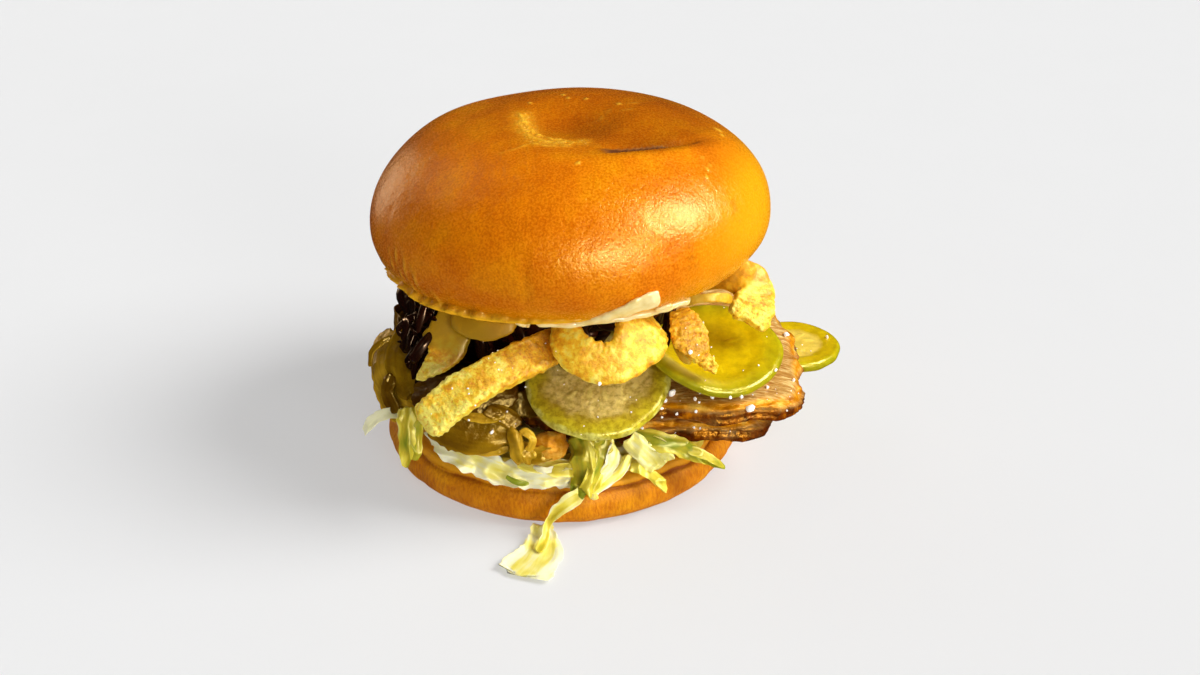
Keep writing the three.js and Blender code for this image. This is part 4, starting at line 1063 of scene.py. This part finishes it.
def dark_onions():
    chance = random.Random(11)
    bm = shape_with("grain", "tone")

    def outline(angle):
        return 36.5 + waves(angle, [(1, 5.5, 190), (2, 2, 0), (7, 1.4, 40), (11, 1, 0)])

    core(bm, lambda angle: outline(angle) - 4, DARK_CENTRE, low=35, top=54.5, shade=0.1)
    slivers(bm, chance, DARK_STRIPS, outline, DARK_CENTRE, levels=(37, 54), width=(2.4, 4.2),
            thick=(1.1, 1.8), tones=(0.0, 0.5), crumple=(0.3, 0.8), ragged=0.05)
    for number in range(DARK_STRANDS):
        start, foot, drift = chance.uniform(0, math.tau), chance.uniform(37, 49), chance.gauss(0, 0.08)
        points = []
        for i, (out, level) in enumerate(STRAND_TOP + [(0.6, (52 + foot) / 2), (-0.6, foot)]):
            angle = start + drift * (i - 2) + chance.gauss(0, 0.02)
            reach = outline(angle) + out + chance.gauss(0, 0.7)
            points.append((DARK_CENTRE[0] + reach * math.cos(angle), DARK_CENTRE[1] + reach * math.sin(angle),
                           level + chance.gauss(0, 0.7)))
        out = Vector((math.cos(start), math.sin(start), 0.5))
        skew = Vector((chance.gauss(0, 0.5), chance.gauss(0, 0.5), chance.gauss(0, 0.3)))
        verts = strip(bm, points, [out, out + skew], chance.uniform(2.4, 4.2), chance.uniform(1.2, 2),
                      around=12, steps=28, tips=(0.5, 0.4),
                      fold=crumpled(chance.uniform(0.3, 0.8), 4, 5.1 * number), ragged=0.06, seed=number)
        mark(bm, verts, "tone", chance.uniform(0, 0.5))
    for number, (path, width, thick) in enumerate(DARK_CURLS):
        verts = strip(bm, path, [(-0.6, -0.8, 0.4), (-0.8, -0.6, 0.1)], width, thick, around=28, steps=60,
                      tips=(0.8, 0.55), square=2.2, fold=crumpled(0.5, 4, 2.7 * number, -0.04), ragged=0.07,
                      seed=number)
        sculpt(bm, verts, lambda v: 0.14 * lumps(v.co, 2.6, number))
        mark(bm, verts, "tone", 0.12 + 0.05 * (number % 3))
    for number in range(CLUMP_STRANDS):
        middle = CLUMP_AT + Vector([chance.gauss(0, spread) for spread in CLUMP_SPREAD])
        way = Vector((chance.gauss(-0.25, 0.5), chance.gauss(-0.1, 0.4),
                      chance.gauss(-1, 0.4))) * chance.uniform(5, 10)
        bow = Vector([chance.gauss(0, 1.6) for _ in range(3)])
        path = [middle + way * (share - 0.5) + bow * 4 * share * (1 - share) for share in (0, 0.3, 0.7, 1)]
        out = Vector((-0.6 + chance.gauss(0, 0.4), -0.8, chance.gauss(0.3, 0.4)))
        verts = strip(bm, path, [out, out], chance.uniform(1.6, 3.2), chance.uniform(0.7, 1.2),
                      around=16, steps=30, tips=(0.45, 0.35), fold=crumpled(0.7, 2.6, 1.9 * number),
                      ragged=0.1, seed=number)
        mark(bm, verts, "tone", chance.uniform(0, 0.3))
    finish_piece(bm, "dark_onion_strands", DARK_ONION, "dark_onion", "dark_onions")


ONIONS = [
    # node, then its layers: path, faces, width, thickness, cup, folds, tone
    ("curl_front", [
        ([(-11.4, -48.4, 29.4), (-10, -49.8, 30.3), (-8.4, -50.6, 29), (-8.8, -51, 26.8), (-10, -50.8, 25.8)],
         [(0.1, -1, 0.3), (0.5, -0.9, 0.2)], 2.2, 1.2, 0.0, 0.4, 0.62),
        ([(-13.4, -47.4, 30.4), (-12.6, -49.4, 27), (-12, -50.6, 23.6), (-10.4, -51, 21)],
         [(-0.4, -0.9, 0.3), (-0.1, -1, 0.2)], 4.2, 1.6, 0.0, 1.0, 0.6),
        ([(-10.6, -49, 26.6), (-9.4, -50.6, 24), (-8.6, -50.8, 21.4)], [(0.3, -1, 0.3), (0.1, -1, 0.2)],
         3.6, 1.6, 0.0, 0.9, 0.5),
        ([(-10.4, -50, 22.6), (-6.4, -50.4, 23.6), (-2.6, -49.6, 24.4)], [(0.1, -0.9, 0.5), (0.2, -0.9, 0.4)],
         4.6, 2.2, 0.0, 1.1, 0.42),
    ]),
    ("petal_front", [
        ([(-40, -37, 35), (-31, -41, 37), (-22, -42.6, 38), (-12, -41, 37)],
         [(-0.3, -0.7, 0.7), (0.1, -0.7, 0.7)], 11, 1.3, -0.03, 1.1, 0.02),
        ([(-37, -40.6, 30), (-29.5, -44.4, 29.8), (-21.5, -47, 29), (-12.4, -46.6, 29.6)],
         [(-0.25, -0.85, 0.5), (0.05, -0.9, 0.42)], lambda t: 9 + 5 * math.sin(math.pi * min(t + 0.08, 1)),
         1.3, -0.03, 0.7, 0.3),
        ([(-30, -45, 25), (-25, -47.2, 23.6), (-19.5, -48.3, 23.2), (-14.4, -48, 24.4)],
         [(-0.1, -0.95, 0.3), (0, -0.95, 0.3)], 2.4, 1.0, 0.0, 0.3, 0.55),
        ([(-27, -45.8, 33.6), (-21, -47.2, 33), (-15, -46.8, 33.4)], [(0, -0.8, 0.7), (0, -0.7, 0.8)],
         2.6, 0.8, 0.0, 0.8, 0.5),
        ([(-20, -46.4, 35.4), (-15.4, -46.8, 33.4), (-12, -46.8, 30)], [(0.1, -0.8, 0.7), (0.2, -0.8, 0.6)],
         5, 1.0, -0.05, 0.9, 0.14),
    ]),
    ("petal_left_upper", [
        ([(-46, -16, 42.6), (-48.8, -20.5, 39.4), (-48.6, -26, 35.6), (-44.5, -31.6, 31.4),
          (-39.5, -36, 29.6)],
         [(-0.55, -0.7, 0.55), (-0.5, -0.8, 0.4), (-0.4, -0.9, 0.4)], lambda t: 12 - 5 * t, 1.1, -0.05, 0.9,
         0.54),
        ([(-42, -22, 45), (-44.6, -25.5, 41), (-44, -30, 36.4), (-40.5, -34, 33)],
         [(-0.35, -0.85, 0.5), (-0.3, -0.9, 0.4)], 8, 1.1, -0.05, 1.0, 0.38),
        ([(-45, -20, 42.6), (-49, -21.5, 42), (-52.2, -22.4, 39.4), (-52.6, -24.6, 36)],
         [(-0.3, -0.8, 0.6), (-0.7, -0.7, 0.3)], 1.9, 0.8, 0.0, 0.5, 0.45),
    ]),
    ("petal_left_lower", [
        ([(-49.4, -20, 34), (-49.2, -26, 31.4), (-46, -32, 28), (-41, -37, 26.2)],
         [(-0.55, -0.8, 0.3), (-0.5, -0.85, 0.25)], lambda t: 10.5 - 3 * t, 1.2, -0.05, 1.1, 0.52),
        ([(-46, -29, 36), (-47, -32, 31.6), (-45, -35.5, 27.4)], [(-0.5, -0.85, 0.3), (-0.4, -0.9, 0.3)],
         4, 1.1, 0.0, 0.9, 0.12),
    ]),
]


def cooked_onions():
    for number, (name, layers) in enumerate(ONIONS):
        bm = bmesh.new()
        grain, tone = layer(bm, "grain"), layer(bm, "tone")
        for depth, (path, faces, width, thick, cup, folds, shade) in enumerate(layers):
            seed = 3.1 * number + 1.7 * depth
            verts = strip(bm, path, faces, width, thick, around=44, steps=84, tips=(0.5, 0.55), square=2.8,
                          fold=crumpled(folds, 4.5, seed, cup, sharp=1.6), ragged=0.08, seed=seed)
            sculpt(bm, verts, lambda v: 0.14 * lumps(v.co, 1.6, seed) + 0.06 * math.sin(4.2 * v[grain].y))
            half = (width(0.5) if callable(width) else width) / 2
            for vert in verts:
                rim = ramp(abs(vert[grain].y) / half, 0.7, 1)
                vert[tone] = shade + 0.2 * lumps(vert.co, 4.5, seed) + 0.16 * rim
        finish_piece(bm, "onion_layers_" + name, ONION, "cooked_onion", "onion_" + name)
    chance = random.Random(5)
    bm = shape_with("grain", "tone")

    def outline(angle):
        return 29.5 * (1 + waves(angle, [(2, 0.08, 180), (5, 0.05, 30), (9, 0.03, 0)]))

    core(bm, lambda angle: outline(angle) - 3, COOKED_CENTRE, low=26.2, top=35.5, shade=0.15)
    slivers(bm, chance, COOKED_STRIPS, outline, COOKED_CENTRE, levels=(27, 34), width=(5, 9),
            thick=(1.0, 1.6), tones=(0.0, 0.25), crumple=(0.8, 1.6), inward=6, detail=(18, 28), cup=0.05,
            ragged=0.07)
    finish_piece(bm, "cooked_onion_strips", ONION, "cooked_onion", "cooked_onions")


# Lettuce

LEAVES = [
    # node, then its parts: path, faces, width, tips, folds, cup, frill, greenness
    ("strand", [
        # The strand's two upper parts are drawn greener and darker, partly painting the shade they sit in
        # below the pickle.
        ([(3.6, -44.6, 25.6), (4.8, -47.6, 21.6), (4.4, -51, 16.8), (3.2, -53.6, 12.4)],
         [(-0.35, -0.85, 0.4), (-0.2, -0.95, 0.3)], lambda t: 8.5 - 3 * t, (0.9, 0.6), 2.1, -0.04, 0.0, 0.55),
        ([(9.5, -44.8, 25), (9.4, -47.8, 20.8), (7, -51.2, 16.4), (4.4, -53.6, 12.8)],
         [(0.5, -0.85, 0.4), (0.4, -0.9, 0.3)], lambda t: 7.5 - 3 * t, (0.8, 0.5), 2.1, -0.04, 0.0, 0.5),
        ([(13.6, -45.4, 22.6), (12, -48.4, 18.4), (8.6, -51.4, 14.8)], [(0.3, -0.7, 0.7), (0.5, -0.8, 0.5)],
         lambda t: 4.6 - 2 * t, (0.6, 0.5), 1.0, 0.05, 0.0, 0.05),
        ([(17.4, -45.6, 20.2), (15, -48.2, 16.2), (11, -50.4, 14.2), (7.6, -52.6, 12.8), (8.2, -53.8, 11.6)],
         [(0.2, -0.9, 0.4), (-0.4, -0.7, 0.7)], 2.5, (0.6, 0.4), 0.5, -0.2, 0.0, 0.1),
        ([(4.2, -53.2, 13.4), (0.4, -54.6, 10.8), (-3, -55.8, 8.2), (-4.8, -56.6, 5.2), (-5.6, -58.6, 2.6),
          (-7, -62.5, 1.9)],
         [(0.3, -0.9, 0.4), (-0.5, -0.8, 0.3), (0.4, -0.7, 0.6), (0, -0.3, 1)],
         lambda t: 4.6 - 2.6 * ramp(t, 0.1, 0.6) + 2.6 * ramp(t, 0.75, 1), (0.8, 0.7), 0.5, 0.1, 0.0, 0.3),
        ([(-6.4, -53.4, 3.2), (-6.2, -57.5, 1.7), (-7.2, -63.5, 1.2), (-11.2, -71.4, 1.3)],
         [(0, -0.3, 1), (0, 0, 1)],
         lambda t: 6.6 + 8.6 * ramp(t, 0.1, 1), (0.9, 0.96), 0.5, 0.006, 0.0, 0.02),
    ]),
    ("leaf_left", [
        ([(-42.4, -39.6, 32.4), (-41.8, -42.8, 28.6), (-41.6, -44.8, 23.4), (-42.2, -45.6, 17.8)],
         [(-0.35, -0.9, 0.3), (-0.2, -0.9, 0.3)],
         lambda t: 5.6 - 1.6 * t, (0.6, 0.35), 1.5, -0.06, 0.0, 0.46),
        ([(-39.4, -39.6, 32.6), (-39.2, -42.8, 28), (-39.6, -44.4, 22.6), (-39.8, -45, 19)],
         [(0.1, -0.95, 0.3), (0.3, -0.95, 0.2)], lambda t: 4.4 - t, (0.6, 0.4), 1.0, 0.0, 0.0, 0.55),
    ]),
    ("shred_left", [
        ([(-41.5, -35, 26.8), (-46.6, -35, 27.4), (-51.2, -34.5, 25.2), (-54.4, -33.8, 20.6)],
         [(0, -0.8, 0.6), (-0.4, -0.8, 0.4)], 3.2, (0.7, 0.55), 0.3, 0.08, 0.0, -0.35),
    ]),
    ("leaf_right", [
        ([(19.5, -43.6, 24), (28, -44.6, 22.4), (35.5, -44.6, 19), (43.8, -43, 13.2)],
         [(0, -0.75, 0.65), (0.2, -0.7, 0.7)], lambda t: 6.4 - 3.4 * t, (0.7, 0.25), 1.1, -0.04, 0.0, 0.66),
        ([(33, -44.6, 20.6), (38, -44.8, 18.4), (43, -43.8, 14)], [(0.3, -0.9, 0.5), (0.3, -0.8, 0.6)],
         lambda t: 2.8 - t, (0.6, 0.3), 0.5, 0.0, 0.0, 0.4),
    ]),
    ("leaf_front", [
        ([(-35.5, -38.5, 24.4), (-30, -43.4, 21.4), (-22.5, -46.6, 18.8), (-14, -48.6, 16.2),
          (-5, -49.4, 15.6), (3.5, -49, 15.4)],
         [(-0.4, -0.8, 0.5), (-0.1, -0.85, 0.5), (0, -0.85, 0.5)], lambda t: 8 - 2 * t, (0.5, 0.7), 1.5, 0.0,
         0.07, -0.1),
        ([(-12, -48.2, 19.4), (-6, -48.6, 18.6), (0, -48.6, 18), (4, -48, 17)],
         [(0, -0.8, 0.6), (0, -0.8, 0.6)], 4.6, (0.5, 0.6), 1.0, 0.0, 0.0, 0.3),
    ]),
]
LETTUCE_SHREDS, LETTUCE_CENTRE, LEAF_THICK = 110, (2, -0.5), 0.4
LOOSE_SHREDS = [
    # path, width, greenness
    ([(17, -44.4, 24.8), (20, -45.4, 21.4), (24, -46, 17.6), (25.4, -45.8, 15.4)], 6.0, 0.02),
    ([(23, -44.6, 24), (26, -45.2, 20.6), (27.4, -45.2, 17)], 4.5, 0.06),
    ([(17, -45.6, 16), (21, -47, 15.8), (24.8, -47.6, 13), (26.8, -47.8, 10)], 3.0, 0.25),
    ([(-15.4, -49.6, 16.2), (-12.6, -50.4, 14.9), (-9.6, -50.4, 14.5)], 1.5, 0.95),
]


def lettuce():
    for number, (name, parts) in enumerate(LEAVES):
        bm = bmesh.new()
        grain, tone = layer(bm, "grain"), layer(bm, "tone")
        for part, (path, faces, width, tips, folds, cup, frill, green) in enumerate(parts):
            seed = 2.1 * number + 4.3 * part
            half = (width(0.5) if callable(width) else width) / 2
            verts = strip(bm, path, faces, width, LEAF_THICK, around=44, steps=90, tips=tips, square=4,
                          fold=crumpled(folds, 3.2, seed, cup, frill, sharp=2),
                          ragged=0.2 if name == "leaf_front" else 0.1, seed=seed)
            for vert in verts:
                rim = ramp(abs(vert[grain].y) / half, 0.55, 1)
                vert[tone] = green + 0.25 * lumps(vert.co, 4, seed) - 0.3 * rim
                if half > 5.4:
                    vert[grain] = vert[grain].yxz
        finish_piece(bm, "lettuce_cut_" + name, LETTUCE, "lettuce", "lettuce_" + name)
    chance = random.Random(3)
    bm = shape_with("grain", "tone")
    slivers(bm, chance, LETTUCE_SHREDS, lambda angle: 46 - 1.5 * math.cos(2 * angle), LETTUCE_CENTRE,
            levels=(14, 20), width=(3, 6.5), thick=(0.4, 0.5), tones=(-0.1, 0.4), crumple=(0.8, 1.8),
            inward=9, span=(0.15, 0.4), lean=0.8, cup=0.06, ragged=0.08)
    for number, (path, width, green) in enumerate(LOOSE_SHREDS):
        verts = strip(bm, path, [(0, -0.8, 0.6), (0.1, -0.8, 0.5)], width, LEAF_THICK, around=30, steps=50,
                      tips=(0.6, 0.35), square=4, fold=crumpled(1.4, 2.4, 3.3 * number, sharp=2), ragged=0.07,
                      seed=number)
        mark(bm, verts, "tone", green)
    core(bm, lambda angle: 38, LETTUCE_CENTRE, low=13.1, top=18, shade=0.0)
    finish_piece(bm, "lettuce_bed", LETTUCE, "lettuce", "shredded_lettuce")


# Salt

PHOTO_WIDTH, PHOTO_HEIGHT = 1200, 675
SALT_SEEN = [
    # where the larger crystals show in the photograph, and their size in mm
    (672, 395, 1.9), (749, 408, 2.2), (695, 400, 0.9), (699, 403, 0.8), (696, 411, 0.8), (712, 398, 1.1),
    (677, 414, 0.8), (661, 408, 0.7), (662, 417, 0.6), (642, 428, 0.8), (741, 396, 1.0), (775, 370, 1.0),
    (793, 381, 1.0), (827, 338, 1.1), (786, 336, 1.6), (767, 388, 0.9), (694, 427, 0.6), (700, 428, 0.6),
    (492, 432, 0.9), (507, 412, 0.5), (475, 405, 0.5), (469, 420, 0.6), (526, 387, 0.6), (600, 383, 0.9),
    (690, 352, 1.1), (519, 404, 0.5), (665, 401, 1.0), (730, 397, 0.7),
]
# Fine grains rain down on the front: how many, and the sides and heights they start between, in metres
FINE_GRAINS, SALT_LEFT, SALT_RIGHT, SALT_FRONT, SALT_LOW, SALT_HIGH = 150, -0.04, 0.075, -0.2, 0.12, 0.2
# No crystal lies higher than this, in metres
SALT_LIMIT = 0.058
SALTED = ["pork_cut_upper_right", "pork_cut_lower_right", "pickle_slice_front", "pickle_slice_right",
          "pickle_slice_far_right", "onion_layers_petal_front", "crackling_puff_long", "crackling_puff_loop",
          "crackling_puff_small_right", "lettuce_cut_leaf_right"]


def salt():
    chance = random.Random(21)
    under = bmesh.new()
    for name in SALTED:
        under.from_mesh(bpy.data.objects[name].data)
    surface = BVHTree.FromBMesh(under)
    under.free()
    view = bpy.context.scene.camera
    turn = view.rotation_euler.to_matrix()
    reach = view.data.lens / view.data.sensor_width * PHOTO_WIDTH
    rays = [(view.location, turn @ Vector((x - PHOTO_WIDTH / 2, PHOTO_HEIGHT / 2 - y, -reach)), size)
            for x, y, size in SALT_SEEN]
    for _ in range(FINE_GRAINS):
        start = Vector((chance.uniform(SALT_LEFT, SALT_RIGHT), SALT_FRONT,
                        chance.uniform(SALT_LOW, SALT_HIGH)))
        rays.append((start, Vector((chance.gauss(0, 0.04), 0.8, -0.62)),
                     chance.choice((0.25, 0.3, 0.35, 0.5))))
    bm = bmesh.new()
    for start, toward, size in rays:
        place, normal, _, _ = surface.ray_cast(start, toward.normalized())
        if place is None or place.z > SALT_LIMIT:
            continue
        verts = bmesh.ops.create_icosphere(bm, subdivisions=2 if size > 0.6 else 1,
                                           radius=0.62 * size)["verts"]
        shift = chance.uniform(0, 99)
        squash = Matrix.Diagonal((chance.uniform(0.7, 1.1), chance.uniform(0.7, 1.1),
                                  chance.uniform(0.5, 0.9), 1))
        turned = chance.uniform(0, math.tau)
        tip = Matrix.Rotation(turned, 4, Vector((chance.random(), chance.random(), 0.4)).normalized())
        for vert in verts:
            vert.co *= 1 + 0.6 * lumps(vert.co / size, 0.6, shift)
            vert.co = tip @ squash @ vert.co + place / MM + normal * 0.3 * size
    finish_piece(bm, "salt_crystals", SALT, None)


# Floor and light

FLOOR_SIZE, CARD_TOWARD = 12, (-0.66, 0.75, 0.07)
LAMPS = [
    # name, where it shines from, strength, softness in degrees, whether it only shows as a gleam
    ("key", (0.75, -0.08, 0.66), 3.6, 34, False),
    ("front_fill", (0.5, -0.84, 0.2), 1.2, 24, False),
    ("back_left_fill", (-0.6, 0.5, 0.6), 0.15, 30, False),
    ("key_gleam", (0.71, -0.12, 0.69), 6.7, 31, True),
    ("low_gleam", (0.34, -0.82, 0.46), 6.5, 18, True),
]


def studio():
    bm = bmesh.new()
    bmesh.ops.create_grid(bm, x_segments=1, y_segments=1, size=FLOOR_SIZE)
    mesh = bpy.data.meshes.new("floor")
    bm.to_mesh(mesh)
    bm.free()
    mesh.materials.append(BACKDROP)
    floor = bpy.data.objects.new("floor", mesh)
    bpy.context.scene.collection.objects.link(floor)
    floor.visible_glossy = False
    for name, toward, strength, soft, gleam in LAMPS:
        lamp = bpy.data.lights.new(name, "SUN")
        lamp.energy, lamp.angle = strength, math.radians(soft)
        holder = bpy.data.objects.new(name, lamp)
        holder.rotation_euler = Vector(toward).to_track_quat("Z", "Y").to_euler()
        holder.visible_diffuse = not gleam
        bpy.context.scene.collection.objects.link(holder)
    world = bpy.data.worlds.new("studio")
    world.use_nodes = True
    tree = world.node_tree
    tree.nodes.clear()
    # Glossy surfaces mirror black cards all round and one warm white card behind on the left.
    way = (add(tree, "TexCoord"), "Generated")
    card = add(tree, "VectorMath", {"operation": "DOT_PRODUCT", 1: CARD_TOWARD}, {0: way})
    card = add(tree, "MapRange", {"From Min": 0.955, "From Max": 0.988, "To Min": 0.03, "To Max": 3.0},
               {"Value": (card, "Value")})
    path = add(tree, "LightPath")
    strength = add(tree, "MapRange", {"To Min": 0.25}, {"Value": (path, "Is Glossy Ray"), "To Max": card})
    warm = add(tree, "Mix", {**BLEND, 6: "#ffffff", 7: "#ffdcb0"}, {0: (path, "Is Glossy Ray")})
    air = add(tree, "Background", links={"Color": (warm, 2), "Strength": strength})
    add(tree, "OutputWorld", links={"Surface": air})
    bpy.context.scene.world = world
    bpy.context.scene.view_settings.view_transform = "Standard"


# Fitted to the outlines of both buns: place in metres, pitch and turn in degrees, focal length in mm
CAMERA_AT, CAMERA_PITCH, CAMERA_TURN, FOCAL_LENGTH = (0, -0.352, 0.230), 60.4, -1.76, 41.76


def camera():
    lens = bpy.data.cameras.new("camera")
    lens.lens = FOCAL_LENGTH
    view = bpy.data.objects.new("camera", lens)
    view.location = CAMERA_AT
    view.rotation_euler = (math.radians(CAMERA_PITCH), 0, math.radians(CAMERA_TURN))
    bpy.context.scene.collection.objects.link(view)
    bpy.context.scene.camera = view


camera()
studio()
top_bun()
bottom_bun()
white_sauce()
cracklings()
pickles()
roast_pork()
dark_onions()
cooked_onions()
lettuce()
salt()
for mesh in READY.values():
    bpy.data.meshes.remove(mesh)
